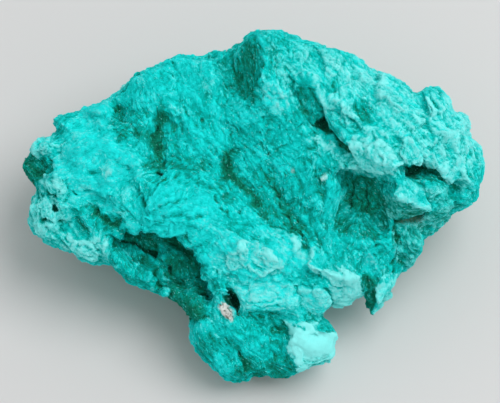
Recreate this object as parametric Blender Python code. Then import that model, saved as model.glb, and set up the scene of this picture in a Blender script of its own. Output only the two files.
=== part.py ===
"""Fibrous malachite hand specimen, one natural piece.

The display face is shaped first, as a sheet over its outline: spot heights give the broad relief, then
knobs, slabs and pits are added, and each lip drops the ground on one side of it and undercuts it.
Face coordinates are millimetres: u to the right, v up the face and w out of it.
The face then leans back from the floor, and a rough back and underside close the lump behind it.
The lump rests on a flat broken base at z = 0, and its origin is the middle of its box at that level.
"""

import math

import bmesh
import bpy
import numpy as np
from mathutils import Vector, geometry, noise

MM = 0.001

# Lengths are in millimetres unless the name or a comment says otherwise.
FACE_LEAN = math.radians(25.0)
FACE_LIFT = 20.0
# Spacing of the display face's points, and the share of it that they keep from the outline.
SHEET_STEP = 0.65
SHEET_CLEARANCE = 0.55
OUTLINE_STEP = 0.6
# How freely the broad relief may pass beside its spot heights.
SPOT_SOFTNESS = 2.0
LOWEST_RELIEF = 0.6
# The rim rises from the outline: a tight round gives most of the height and a wide one the rest.
RIM_ROUNDING = 1.0
RIM_SLOPE = 7.0
RIM_EDGE_SHARE = 0.90
RIM_SETTLE = 3.0
# A form's slope ends this far out, in half widths.
FORM_FOOT = 1.25
# A lip's drop is full over this share of its reach, and its undercut fades over this many times its depth.
LIP_FULL_DROP = 0.45
UNDERCUT_FADE = 2.5
SKIN_STEP = 0.75

BACK_INSET = 12.0
BACK_OVERSHOOT = 3.5
BACK_ROUND_SHARE = 0.5
BACK_START = 0.5
BACK_FADE = 9.0
BACK_ROUNDING_PASSES = 24
BACK_SETTLING_PASSES = 3
# The wall under the rim is notched between these distances from the outline and heights on the face.
WALL_DEPTH = 2.6
WALL_RIM = (0.4, 1.8)
WALL_HEIGHT = (-1.0, 2.0)
BOULDER_SIZE = 13.0
BOULDER_DEPTH = 3.4
BOULDER_TILT = 4.5
BOULDER_SWELL_SHARE = 0.4
LUMP_SIZE = 5.0
LUMP_DEPTH = 1.6

GRAIN = math.radians(-48.0)
GRAIN_STRETCH = 1.35
GRAIN_SWAY = 1.5
GRAIN_SWAY_SIZE = 6.0
# Crust plates: size across the grain, slope of a plate down to the left, tilt at random and the step
# between plates.
PLATES = [(5.0, 0.20, 0.22, 0.9), (2.5, 0.26, 0.30, 0.7)]
CRUST_SIZE = 1.6
CRUST_DEPTH = 0.45
# Spreads the cells' centres out, so that neighbouring cells get unlike tilts.
CELL_SPREAD = 7.3
# Centre (u, v), half width and half height of each area where the plates are lower, and how much lower.
CALM_AREAS = [
    ((3.0, 6.0), 15.0, 14.0, 0.65), ((-6.0, 14.0), 12.0, 11.0, 0.65), ((2.0, -28.0), 15.0, 8.0, 0.75),
    ((24.0, -8.0), 8.0, 8.0, 0.45), ((5.0, -17.0), 17.0, 5.0, 0.40), ((-17.0, -1.0), 8.0, 6.0, 0.45),
    ((29.0, 1.0), 9.0, 4.0, 0.60),
]
CALM_EDGE = (0.7, 1.15)

TRIANGLES = 9400
BACK_TRIANGLES = 2600
SLIVER = 0.03
BASE_CUTTER = 300.0

# The edge of the display face, clockwise from the left tip.
OUTLINE = [
    (-46.2, 7.3), (-44.6, 8.9), (-43.8, 10.8), (-42.4, 12.6), (-40.0, 13.4), (-38.5, 13.3),
    (-39.2, 15.0), (-39.8, 16.0), (-38.8, 17.4), (-35.6, 18.2), (-32.5, 19.4), (-29.2, 19.8),
    (-28.4, 20.8), (-26.0, 22.6), (-23.8, 24.6), (-21.8, 26.1), (-19.6, 26.8), (-16.4, 28.7),
    (-14.2, 29.2), (-11.2, 29.6), (-9.8, 29.0), (-8.2, 29.3), (-7.4, 30.3), (-6.0, 30.6),
    (-4.6, 29.3), (-3.4, 31.0), (-2.2, 32.2), (-1.2, 34.0), (1.2, 34.5), (6.2, 34.6),
    (8.4, 33.4), (12.2, 31.9), (14.4, 31.0), (18.0, 30.4), (22.0, 29.0), (23.4, 27.8),
    (24.0, 26.4), (26.6, 25.8), (27.8, 24.9), (30.0, 24.5), (31.6, 23.0), (32.8, 21.2),
    (34.4, 22.6), (37.0, 22.9), (38.9, 22.0), (40.3, 20.0), (40.0, 18.8), (41.4, 17.5),
    (43.6, 17.3), (44.2, 15.9), (43.9, 14.2), (45.2, 12.0), (46.8, 9.6), (47.3, 7.0),
    (47.0, 4.6), (46.0, 2.8), (45.7, 0.4), (44.3, -1.4), (41.6, -2.0), (39.6, -4.0),
    (36.6, -6.8), (35.2, -8.6), (34.2, -10.9), (32.2, -13.8), (29.8, -14.8), (29.1, -16.0),
    (27.6, -18.9), (25.5, -22.0), (24.2, -21.4), (22.0, -18.7), (20.9, -19.2), (19.0, -21.3),
    (17.4, -21.3), (16.0, -22.6), (14.6, -23.6), (16.2, -24.2), (17.3, -26.6), (16.8, -29.0),
    (16.7, -31.2), (14.4, -32.4), (11.2, -33.5), (9.0, -35.2), (6.6, -35.8), (2.0, -35.4),
    (-1.0, -36.3), (-4.0, -36.0), (-6.6, -34.2), (-9.6, -31.6), (-11.4, -28.8), (-12.3, -25.8),
    (-11.9, -22.8), (-14.2, -20.7), (-17.2, -19.3), (-20.6, -18.3), (-23.2, -17.2), (-25.6, -16.2),
    (-27.4, -13.4), (-29.6, -12.8), (-33.6, -12.3), (-36.2, -10.9), (-38.4, -9.9), (-41.0, -8.6),
    (-43.4, -6.4), (-44.6, -3.6), (-44.6, -0.4), (-43.6, 1.8), (-43.0, 2.6), (-44.4, 3.8),
    (-45.2, 5.4),
]

# Spot heights (u, v, w) of the broad relief, before the lips cut into it.
SPOT_HEIGHTS = {
    "crest": [(0.0, 32.7, 9.5), (2.4, 30.3, 13.0), (3.2, 25.3, 14.5), (4.6, 20.3, 13.8), (6.0, 17.0, 12.0)],
    "hollow left of the crest": [
        (-2.0, 28.3, 12.0), (-2.4, 23.3, 12.0), (-5.2, 26.0, 8.6), (-7.0, 28.7, 7.0),
    ],
    "upper right mass": [
        (8.0, 30.3, 12.0), (14.0, 27.9, 12.0), (20.0, 25.3, 11.0), (25.0, 22.3, 10.5), (10.0, 23.3, 12.0),
        (12.0, 18.5, 11.4), (17.0, 20.3, 12.6), (22.0, 17.3, 13.6), (29.0, 17.3, 13.0), (36.0, 18.3, 9.5),
        (41.0, 14.3, 8.0),
    ],
    "right shelf": [
        (20.0, 12.3, 12.6), (26.0, 11.3, 14.6), (32.0, 11.3, 14.6), (38.0, 10.3, 12.0), (43.0, 7.3, 8.4),
        (24.0, 7.3, 14.6), (29.0, 5.7, 15.4), (34.0, 8.4, 14.0), (39.6, 5.0, 11.0), (42.6, 2.4, 8.2),
    ],
    "ground under the shelf": [
        (22.0, 0.3, 11.4), (26.0, -2.0, 11.2), (30.5, -4.9, 8.6), (36.0, 0.6, 10.0), (41.0, -0.6, 7.6),
        (30.0, 1.6, 10.4), (36.0, -4.0, 7.4), (32.0, -8.2, 7.0), (20.0, -7.7, 9.4), (26.0, -7.7, 8.8),
        (27.0, -11.7, 5.8), (31.0, -12.1, 4.4), (26.5, -16.7, 3.8), (22.0, -12.0, 6.8),
    ],
    "silky bowl": [
        (10.0, 12.3, 10.4), (15.0, 9.5, 10.9), (10.0, 6.3, 9.0), (15.5, 2.3, 9.8), (16.5, -4.0, 9.4),
        (10.0, -1.7, 7.6), (4.0, 2.3, 7.8), (0.0, 12.3, 9.6), (-5.0, 18.3, 9.2), (-3.4, 8.3, 8.0),
        (1.0, 0.3, 7.8), (-10.0, 12.3, 9.4), (-13.0, 7.3, 9.4), (-7.0, 2.3, 9.4),
    ],
    "upper left": [
        (-12.0, 20.3, 9.2), (-18.0, 23.3, 7.5), (-14.0, 26.3, 6.0), (-18.4, 14.3, 8.0), (-18.4, 9.3, 8.4),
        (-23.0, 17.3, 7.8), (-26.4, 19.0, 5.8),
    ],
    "left hump": [
        (-16.0, 0.3, 11.8), (-20.0, -3.0, 11.2), (-12.0, -5.0, 11.8), (-7.0, -6.7, 11.4), (-4.0, -2.7, 10.0),
    ],
    "left arm": [
        (-27.0, 10.3, 8.8), (-32.0, 13.3, 7.0), (-36.0, 15.3, 5.0), (-24.0, 4.3, 9.8), (-30.0, 5.3, 9.0),
        (-35.0, 7.3, 7.4), (-40.0, 10.7, 6.0), (-42.5, 6.3, 4.6), (-38.0, 2.3, 6.0), (-41.0, -1.7, 5.8),
        (-39.0, -6.7, 5.2), (-33.0, -7.9, 5.8), (-29.0, -9.7, 5.4), (-33.0, -0.5, 7.2), (-29.0, -3.5, 7.0),
        (-26.0, -0.7, 8.8), (-24.0, -4.7, 9.0),
    ],
    "ground under the left lip": [
        (-15.0, -9.7, 8.6), (-20.0, -10.1, 8.8), (-25.0, -10.5, 8.2), (-11.0, -16.7, 8.4),
        (-17.0, -15.5, 8.0), (-13.0, -19.0, 7.2), (-22.0, -14.5, 9.2),
    ],
    "pale lower slope": [
        (2.0, -6.7, 10.6), (10.0, -8.7, 9.0), (16.0, -9.7, 8.4), (-5.0, -11.7, 11.0), (1.0, -11.7, 12.0),
        (7.0, -13.7, 11.0), (14.0, -13.7, 9.4), (20.0, -12.7, 7.6), (18.0, -17.7, 7.0), (12.0, -17.7, 8.4),
        (6.0, -19.7, 8.8), (0.0, -17.7, 10.6), (13.5, -21.7, 4.8),
    ],
    "lower lobe": [
        (-7.0, -21.7, 8.0), (-9.0, -25.7, 7.6), (-3.0, -26.7, 8.6), (3.0, -24.7, 8.0), (4.0, -28.7, 7.6),
        (10.0, -27.0, 8.4), (14.0, -28.7, 7.4), (15.4, -25.7, 5.6), (-2.0, -32.9, 5.6), (6.0, -33.3, 4.4),
        (1.0, -31.0, 6.6), (-7.5, -29.9, 6.6),
    ],
}

# A lip: its path, how far the ground drops on the right of it, the width of that step, how far it undercuts,
# how far the drop reaches and the share of the path over which each end fades.
LIPS = {
    "lower left overhang": (
        [(-29.0, -8.6), (-27.4, -7.6), (-24.8, -6.4), (-20.0, -5.7), (-16.8, -7.0), (-13.8, -7.2),
         (-12.6, -8.6), (-11.4, -11.2), (-9.8, -12.2), (-8.8, -15.0), (-8.0, -17.8), (-9.4, -21.6)],
        6.2, 0.9, 2.2, 30.0, 0.12),
    "right shelf lip": (
        [(16.8, 6.4), (20.4, 5.7), (23.0, 5.4), (26.2, 4.3), (29.8, 3.9)], 5.4, 0.9, 2.0, 15.0, 0.22),
    "lip of the lens hollow": (
        [(29.4, 4.4), (31.0, 6.6), (32.4, 7.6), (35.0, 7.1), (37.2, 6.7), (38.4, 4.9), (40.4, 3.8),
         (43.0, 3.2)],
        3.6, 0.9, 1.4, 4.0, 0.14),
    "bank of the silky bowl": (
        [(19.6, -7.0), (18.0, -2.6), (18.6, 2.0), (16.8, 8.4)], 1.8, 3.6, 0.0, 8.0, 0.34),
    "left wall of the crest": (
        [(-1.2, 33.8), (0.0, 29.4), (1.0, 24.8), (1.8, 18.4)], 5.4, 4.6, 0.0, 9.0, 0.36),
    "foot of the upper right mass": (
        [(10.0, 22.6), (12.6, 19.8), (14.2, 16.2), (17.4, 13.6), (19.0, 10.6), (19.6, 7.6)],
        0.9, 1.6, 0.0, 6.0, 0.26),
    "tongue in the shelf hollow": (
        [(24.4, -1.0), (27.2, -3.0), (30.0, -3.7), (32.4, -2.9), (35.0, -1.4)], 2.0, 0.9, 1.0, 4.5, 0.18),
    "rim of the right end": (
        [(33.6, -3.6), (35.6, -4.6), (38.6, -2.2), (41.6, -0.8), (44.2, -1.6)], 2.0, 0.9, 0.5, 4.0, 0.20),
    "rib of the apron": ([(29.2, -12.6), (29.2, -8.6), (29.0, -4.4)], 1.2, 1.2, 0.3, 4.0, 0.30),
    "plate over the nose": (
        [(16.4, -15.4), (19.0, -16.0), (22.4, -17.4), (21.8, -18.8)], 2.2, 0.9, 0.8, 3.0, 0.20),
    "crust over the slabs": (
        [(-5.6, -14.8), (-2.0, -15.4), (3.0, -15.6), (7.6, -16.2), (11.0, -16.8), (14.8, -17.4)],
        1.3, 0.9, 0.3, 4.0, 0.16),
    "foot of the slabs": (
        [(-2.2, -21.6), (2.0, -22.4), (7.0, -22.2), (10.4, -23.6), (13.0, -23.0), (15.6, -22.0)],
        1.8, 1.2, 0.5, 5.0, 0.16),
    "left edge of the pale facet": ([(7.8, -23.4), (8.6, -27.4), (8.4, -32.4)], 1.9, 1.6, 0.0, 6.0, 0.20),
    "step over the left tip": (
        [(-44.6, 10.6), (-41.6, 9.4), (-40.2, 6.8), (-42.0, 3.4)], 3.4, 1.2, 0.3, 5.0, 0.16),
    "shoulder of the left arm": (
        [(-37.4, 7.4), (-33.0, 4.6), (-30.4, 1.0), (-28.2, -3.4)], 0.9, 2.4, 0.0, 6.0, 0.26),
}

# Knobs and slabs stand up and pits go down: name, (u, v), half length, half width, turn in degrees, height,
# and how much of the half width is a flat top.
FORMS = [
    ("root of the tongue", (28.6, 1.8), 3.3, 2.3, -20, 3.6, 0.45),
    ("tip of the tongue", (31.8, -0.1), 3.8, 2.5, -28, 3.0, 0.55),
    ("ledge under the lens hollow", (37.0, 2.4), 2.8, 1.8, -20, 1.6, 0.40),
    ("gap between tongue and ledge", (34.8, 1.4), 2.2, 0.6, -74, -2.0, 0.10),
    ("lens hollow", (33.2, 5.4), 3.2, 1.3, -8, -4.5, 0.30),
    ("bead on the right", (39.5, 14.0), 4.0, 3.0, 40, 1.2, 0.20),
    ("knob on the upper right edge", (37.6, 20.0), 3.8, 2.8, -30, 2.0, 0.40),
    ("small knob on the right edge", (42.6, 15.8), 1.6, 1.4, 0, 1.6, 0.40),
    ("pit at the foot of the mass", (14.3, 15.8), 2.2, 1.4, 70, -3.6, 0.10),
    ("groove beside the crest", (8.8, 20.6), 5.2, 1.4, -62, -1.6, 0.10),
    ("slab beside the crest", (12.0, 20.4), 4.4, 1.8, -72, 1.4, 0.45),
    ("facet under the mass", (17.4, 14.6), 4.2, 1.5, -52, 0.8, 0.45),
    ("smooth hollow in the mass", (21.8, 18.0), 2.4, 1.5, -60, -1.5, 0.30),
    ("rib above the shelf", (21.0, 11.4), 4.4, 1.3, -40, 1.2, 0.30),
    ("groove above the shelf", (18.6, 10.6), 3.0, 0.8, -46, -1.8, 0.10),
    ("ridge in the upper mass", (12.5, 22.5), 5.0, 1.4, -62, 1.0, 0.10),
    ("dip in the recess", (-1.8, 24.6), 2.6, 2.0, 80, -1.4, 0.20),
    ("dent on the left shoulder", (-26.3, 18.0), 3.4, 2.4, 80, -2.4, 0.20),
    ("small pit by the dent", (-23.4, 13.7), 1.4, 0.9, 20, -1.4, 0.10),
    ("upper groove on the left", (-18.7, 14.6), 4.4, 2.0, 86, -2.2, 0.10),
    ("lower groove on the left", (-18.3, 9.4), 3.4, 1.8, 96, -1.8, 0.10),
    ("hole under the left grooves", (-18.4, 5.4), 1.0, 0.8, 0, -1.8, 0.10),
    ("pit in the bowl", (-4.2, 8.0), 3.4, 1.4, 80, -2.0, 0.10),
    ("groove below the bowl's pit", (-0.2, 2.6), 6.6, 1.8, -52, -0.9, 0.10),
    ("long dimple in the bowl", (7.6, -3.0), 9.0, 2.6, -64, -1.2, 0.10),
    ("ridge on the left hump", (-20.8, -2.0), 5.0, 1.2, 68, 1.0, 0.10),
    ("cleft on the left hump", (-21.6, -1.2), 3.6, 0.7, -72, -1.6, 0.10),
    ("valley behind the pale bulb", (-31.6, -0.6), 7.4, 2.6, -52, -0.7, 0.10),
    ("pale bulb", (-39.4, -1.2), 5.4, 4.4, 70, 1.8, 0.40),
    ("upper bead of the pale bulb", (-38.6, 3.6), 3.4, 2.0, 14, 1.6, 0.50),
    ("bead on the left shoulder", (-35.6, 17.0), 3.0, 1.8, 20, 1.2, 0.40),
    ("second bead on the left shoulder", (-30.4, 17.8), 3.2, 1.6, 14, 1.0, 0.40),
    ("lump on the left arm", (-33.0, 11.0), 3.6, 2.0, -20, 1.0, 0.40),
    ("second lump on the left arm", (-27.6, 7.0), 3.4, 2.2, 30, 1.0, 0.40),
    ("third lump on the left arm", (-34.0, 4.6), 3.0, 2.0, -40, 0.9, 0.40),
    ("lump by the left valley", (-26.2, -2.6), 2.8, 2.2, -60, 0.9, 0.40),
    ("second pale bulge", (-33.4, -8.8), 4.8, 2.8, -22, 1.8, 0.35),
    ("knob over the left tip", (-41.0, 11.0), 3.0, 2.2, 10, 1.6, 0.40),
    ("hole in the pale bulb", (-39.6, -1.1), 1.1, 0.9, -30, -2.4, 0.10),
    ("slot in the pale bulb", (-40.6, -4.1), 1.3, 0.6, 0, -1.8, 0.10),
    ("second hole in the pale bulb", (-37.4, -4.3), 0.9, 0.8, 0, -1.8, 0.10),
    ("hole behind the pale bulb", (-35.0, 1.9), 1.2, 0.9, -40, -2.0, 0.10),
    ("hole under the left lip", (-19.6, -10.3), 1.7, 1.2, -30, -2.6, 0.10),
    ("rib under the left lip", (-25.4, -12.4), 4.2, 1.8, -38, 2.4, 0.25),
    ("bead under the left lip", (-21.2, -14.9), 1.9, 1.2, -20, 1.6, 0.40),
    ("scarp bead under the left lip", (-17.4, -15.8), 1.2, 2.4, 10, 1.4, 0.25),
    ("block beside the pocket", (-6.4, -18.6), 1.8, 2.2, 10, 1.4, 0.40),
    ("pocket", (-3.2, -20.2), 3.5, 1.6, -62, -5.2, 0.25),
    ("slab over the pocket", (2.0, -18.8), 6.4, 2.8, -4, 1.3, 0.55),
    ("middle slab", (13.2, -19.2), 3.6, 2.4, -24, 1.5, 0.55),
    ("pale plate at the right foot", (19.4, -16.4), 4.0, 2.8, -40, 1.8, 0.55),
    ("gap between the slabs", (16.2, -19.0), 2.0, 0.6, -80, -2.4, 0.10),
    ("hollow between slabs", (10.6, -14.6), 3.6, 1.8, -25, -1.6, 0.30),
    ("crust lump in the middle", (5.4, -10.6), 4.2, 2.2, -40, 1.2, 0.40),
    ("crust lump on the left", (-3.4, -10.4), 3.6, 2.2, -14, 1.1, 0.40),
    ("crust lump by the lip", (-6.6, -13.6), 2.6, 1.8, -50, 0.9, 0.40),
    ("crust lump over the slabs", (2.0, -13.4), 3.6, 1.6, -10, 1.0, 0.40),
    ("nose", (27.2, -18.4), 3.6, 1.7, 66, 2.2, 0.35),
    ("hollow beside the nose", (23.3, -17.4), 2.6, 1.3, -62, -2.4, 0.20),
    ("pale facet on the lobe", (12.8, -27.6), 4.0, 3.6, -20, 1.0, 0.70),
    ("knob beside the facet", (15.6, -25.4), 1.8, 1.5, -30, 1.2, 0.40),
    ("hollow in the lobe", (3.6, -25.6), 3.6, 1.6, -14, -1.2, 0.20),
    ("dimple in the lobe", (-1.2, -31.2), 1.6, 1.1, 60, -1.2, 0.20),
    ("hollow under the lobe", (5.4, -34.6), 3.8, 1.6, 6, -2.0, 0.20),
    ("pit in the lower right apron", (25.4, -8.8), 1.0, 0.7, 0, -1.2, 0.10),
    ("rib of the lower right apron", (33.4, -8.6), 3.4, 1.2, -70, 1.2, 0.20),
    ("crease of the lower right apron", (29.4, -9.4), 4.2, 0.9, -80, -1.4, 0.10),
]


def smoothstep(low, high, x):
    """0 below low, 1 above high, and a smooth rise between them."""
    t = np.clip((np.asarray(x, float) - low) / (high - low), 0.0, 1.0)
    return t * t * (3.0 - 2.0 * t)


def quarter_round(t):
    """0 at t = 0 and 1 from t = 1 on, along a quarter of a circle."""
    return np.sqrt(1.0 - (1.0 - np.clip(t, 0.0, 1.0)) ** 2)


def rounded_outline():
    """The outline as a closed smooth curve through its points, about OUTLINE_STEP apart."""
    corners = np.array(OUTLINE)
    curve = []
    for i in range(len(corners)):
        a, b, c, d = (corners[(i + k) % len(corners)] for k in (-1, 0, 1, 2))
        count = max(1, round(np.linalg.norm(c - b) / OUTLINE_STEP))
        for t in np.arange(count) / count:
            bend = (2 * a - 5 * b + 4 * c - d) * t**2 + (3 * b - a - 3 * c + d) * t**3
            curve.append(0.5 * (2 * b + (c - a) * t + bend))
    return np.array(curve)


def nearest_on_path(points, path, closed=False):
    """Each point's distance from the path, the unit vector to the path's right, and how far along it is.

    The distance is positive on the right of the path. How far along runs from 0 to 1.
    """
    ends = np.roll(path, -1, axis=0) if closed else path[1:]
    starts = path if closed else path[:-1]
    runs = ends - starts
    lengths = np.linalg.norm(runs, axis=1)
    before = np.concatenate([[0.0], np.cumsum(lengths)[:-1]])
    best = np.full(len(points), 1e9)
    signed = np.zeros(len(points))
    side = np.zeros((len(points), 2))
    along = np.zeros(len(points))
    for start, run, length, passed in zip(starts, runs, lengths, before):
        away = points - start
        t = np.clip(away @ run / length**2, 0.0, 1.0)
        gap = away - t[:, None] * run
        distance = np.linalg.norm(gap, axis=1)
        right = np.where(gap @ np.array([run[1], -run[0]]) >= 0.0, 1.0, -1.0)
        closer = distance < best
        best[closer] = distance[closer]
        signed[closer] = (distance * right)[closer]
        side[closer] = (gap * right[:, None] / np.maximum(distance, 1e-6)[:, None])[closer]
        along[closer] = ((passed + t * length) / lengths.sum())[closer]
    return signed, side, along


def inside(points, loop):
    """Whether each point is inside the closed loop."""
    x, y = points[:, :1], points[:, 1:]
    x0, y0 = loop.T
    x1, y1 = np.roll(loop, -1, axis=0).T
    crosses = ((y0 > y) != (y1 > y)) & (x < (x1 - x0) * (y - y0) / np.where(y1 == y0, 1e-9, y1 - y0) + x0)
    return crosses.sum(axis=1) % 2 == 1


def face_sheet(edge):
    """A flat sheet of triangles inside the edge: its points, with the edge's own first, and its faces."""
    low, high = edge.min(axis=0), edge.max(axis=0)
    rows = np.arange(low[1], high[1], SHEET_STEP * math.sqrt(0.75))
    shift = SHEET_STEP / 2
    columns = np.arange(low[0], high[0], SHEET_STEP)
    grid = np.array([(u + shift * (row % 2), v) for row, v in enumerate(rows) for u in columns])
    grid = grid[inside(grid, edge)]
    clear = np.abs(nearest_on_path(grid, edge, closed=True)[0]) > SHEET_CLEARANCE * SHEET_STEP
    points = [Vector(p) for p in np.vstack([edge, grid[clear]])]
    around = [(i, (i + 1) % len(edge)) for i in range(len(edge))]
    made, _, faces, *_ = geometry.delaunay_2d_cdt(points, around, [], 1, 1e-6)
    return np.array([tuple(p) for p in made]), faces


def broad_relief(points):
    """The thin-plate surface through the spot heights."""
    spots = np.array([spot for group in SPOT_HEIGHTS.values() for spot in group])
    sites, heights = spots[:, :2], spots[:, 2]

    def plates(at):
        r2 = ((at[:, None, :] - sites[None, :, :]) ** 2).sum(axis=2)
        return 0.5 * r2 * np.log(np.maximum(r2, 1e-9))

    def plane(at):
        return np.column_stack([np.ones(len(at)), at])

    stiff = plates(sites) + SPOT_SOFTNESS * np.eye(len(sites))
    system = np.block([[stiff, plane(sites)], [plane(sites).T, np.zeros((3, 3))]])
    weights = np.linalg.solve(system, np.concatenate([heights, np.zeros(3)]))
    return plates(points) @ weights[: len(sites)] + plane(points) @ weights[len(sites):]


def forms_relief(points):
    """The knobs, slabs and pits."""
    relief = np.zeros(len(points))
    for _, centre, half_length, half_width, turn, height, flat in FORMS:
        c, s = math.cos(math.radians(turn)), math.sin(math.radians(turn))
        away = points - np.array(centre)
        r = np.hypot((away @ (c, s)) / half_length, (away @ (-s, c)) / half_width)
        relief += height * (1.0 - smoothstep(flat, FORM_FOOT, r))
    return relief


def crust_relief(points):
    """Overlapping plates along the grain of the crust, lower in the calm areas."""
    c, s = math.cos(GRAIN), math.sin(GRAIN)
    relief = np.empty(len(points))
    for i, (u, v) in enumerate(points):
        sway = GRAIN_SWAY * noise.noise(Vector((u, v, 0.0)) / GRAIN_SWAY_SIZE)
        here = Vector(((u * c + v * s) / GRAIN_STRETCH + sway, v * c - u * s - sway, 0.0))
        height = CRUST_DEPTH * noise.noise(here / CRUST_SIZE)
        for size, slope, tilt, step in PLATES:
            cell = noise.voronoi(here / size)[1][0]
            lean = noise.cell_vector(cell * CELL_SPREAD) - Vector((0.5, 0.5, 0.5))
            across = here - cell * size
            height += step * lean.z + 2.0 * tilt * lean.xy.dot(across.xy) - slope * across.y
        relief[i] = height
    calm = np.zeros(len(points))
    for centre, half_u, half_v, amount in CALM_AREAS:
        r = np.linalg.norm((points - np.array(centre)) / (half_u, half_v), axis=1)
        calm = np.maximum(calm, amount * (1.0 - smoothstep(*CALM_EDGE, r)))
    return relief * (1.0 - calm)


def cut_lips(points, relief):
    """Drops the ground beside each lip and draws it back under the lip."""
    moved, relief = points.copy(), relief.copy()
    for path, drop, width, undercut, reach, fade in LIPS.values():
        signed, side, along = nearest_on_path(points, np.array(path))
        ends = smoothstep(0.0, fade, along) * smoothstep(0.0, fade, 1.0 - along)
        step = smoothstep(-width / 2, width / 2, signed)
        relief -= drop * ends * step * (1.0 - smoothstep(LIP_FULL_DROP * reach, reach, signed))
        if undercut:
            fading = smoothstep(width, width + UNDERCUT_FADE * undercut, signed)
            back = undercut * ends * step * (1.0 - fading)
            moved -= side * back[:, None]
    return moved, relief


def to_world(u, v, w):
    """Face coordinates to the part's own frame, in metres."""
    c, s = math.cos(FACE_LEAN), math.sin(FACE_LEAN)
    return np.column_stack([u, v * c - w * s, v * s + w * c + FACE_LIFT]) * MM


def closed_lump():
    """The face sheet and the back sheet, joined along the outline."""
    edge = rounded_outline()
    points, faces = face_sheet(edge)
    rim = np.abs(nearest_on_path(points, edge, closed=True)[0])
    rim[: len(edge)] = 0.0
    moved, relief = cut_lips(points, broad_relief(points) + forms_relief(points) + crust_relief(points))
    rise = RIM_EDGE_SHARE * quarter_round(rim / RIM_ROUNDING)
    rise += (1.0 - RIM_EDGE_SHARE) * quarter_round(rim / RIM_SLOPE)
    settle = smoothstep(0.0, RIM_SETTLE, rim)[:, None]
    front = to_world(*(points + (moved - points) * settle).T, np.maximum(relief, LOWEST_RELIEF) * rise)

    floor_depth = (points[:, 1] * math.sin(FACE_LEAN) + FACE_LIFT) / math.cos(FACE_LEAN)
    inset = BACK_ROUND_SHARE * quarter_round(rim / BACK_INSET)
    inset += (1.0 - BACK_ROUND_SHARE) * np.clip(rim / BACK_INSET, 0.0, 1.0)
    back = to_world(*points.T, -(floor_depth + BACK_OVERSHOOT) * inset)

    lump = bmesh.new()
    front_ring = [lump.verts.new(p) for p in front]
    back_ring = front_ring[: len(edge)] + [lump.verts.new(p) for p in back[len(edge):]]
    for a, b, c in faces:
        lump.faces.new((front_ring[a], front_ring[b], front_ring[c]))
        lump.faces.new((back_ring[c], back_ring[b], back_ring[a]))
    mesh = bpy.data.meshes.new("malachite_specimen")
    lump.to_mesh(mesh)
    lump.free()
    return mesh


def apply_modifiers(obj):
    """Makes what the object's modifiers give its own mesh."""
    bpy.context.view_layer.update()
    made = bpy.data.meshes.new_from_object(obj.evaluated_get(bpy.context.evaluated_depsgraph_get()))
    obj.modifiers.clear()
    obj.data = made


def even_skin(obj):
    """Replaces the object's mesh with one of even small faces, which also rounds the sharp rim."""
    skin = obj.modifiers.new("even_skin", "REMESH")
    skin.mode = "VOXEL"
    skin.voxel_size = SKIN_STEP * MM
    apply_modifiers(obj)


def to_face(places):
    """The part's own frame, in metres, back to face coordinates in millimetres."""
    c, s = math.cos(FACE_LEAN), math.sin(FACE_LEAN)
    x, y, z = (places / MM).T
    return np.column_stack([x, y * c + (z - FACE_LIFT) * s, (z - FACE_LIFT) * c - y * s])


def smooth_passes(body, share, count):
    """Evens out the vertices with a share above a tenth."""
    chosen = [vertex for vertex, amount in zip(body.verts, share) if amount > 0.1]
    axes = {"use_axis_x": True, "use_axis_y": True, "use_axis_z": True}
    for _ in range(count):
        bmesh.ops.smooth_vert(body, verts=chosen, factor=0.5, **axes)
    body.normal_update()


def break_back(mesh):
    """Breaks the back into boulder faces and notches the wall under the rim, and leaves the display face."""
    body = bmesh.new()
    body.from_mesh(mesh)
    uvw = to_face(np.array([vertex.co for vertex in body.verts]))
    behind = smoothstep(BACK_START, BACK_START + BACK_FADE, -uvw[:, 2])
    rim = np.abs(nearest_on_path(uvw[:, :2], rounded_outline(), closed=True)[0])
    wall = (1.0 - behind) * (1.0 - smoothstep(*WALL_RIM, rim)) * smoothstep(*WALL_HEIGHT, uvw[:, 2])
    smooth_passes(body, behind, BACK_ROUNDING_PASSES)
    shifts = []
    for vertex, share, notch in zip(body.verts, behind, wall):
        here = vertex.co / (BOULDER_SIZE * MM)
        spans, cells = noise.voronoi(here)[:2]
        lean = noise.cell_vector(cells[0] * CELL_SPREAD) - Vector((0.5, 0.5, 0.5))
        lumps = noise.noise(vertex.co / (LUMP_SIZE * MM))
        out = BOULDER_DEPTH * (BOULDER_SWELL_SHARE - spans[0]) + BOULDER_TILT * lean.dot(here - cells[0])
        out = share * (out + LUMP_DEPTH * lumps) - notch * WALL_DEPTH * max(0.0, lumps)
        shifts.append(vertex.normal * (out * MM))
    for vertex, shift in zip(body.verts, shifts):
        vertex.co += shift
    smooth_passes(body, behind, BACK_SETTLING_PASSES)
    body.to_mesh(mesh)
    body.free()


def thin_triangles(obj):
    """Thins the back to BACK_TRIANGLES or so, the display face held, and then the whole to TRIANGLES."""
    mesh = obj.data
    heights = to_face(np.array([vertex.co for vertex in mesh.vertices]))[:, 2]
    back = obj.vertex_groups.new(name="back")
    back.add([int(i) for i in np.flatnonzero(heights < -BACK_START)], 1.0, "REPLACE")
    held = sum(2 for face in mesh.polygons if max(heights[i] for i in face.vertices) > -BACK_START)
    thin = obj.modifiers.new("thin_back", "DECIMATE")
    thin.ratio = (held + BACK_TRIANGLES) / (2 * len(mesh.polygons))
    thin.use_collapse_triangulate = True
    thin.vertex_group = back.name
    thin = obj.modifiers.new("thin_all", "DECIMATE")
    thin.ratio = TRIANGLES / (held + BACK_TRIANGLES)
    thin.use_collapse_triangulate = True
    apply_modifiers(obj)


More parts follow.
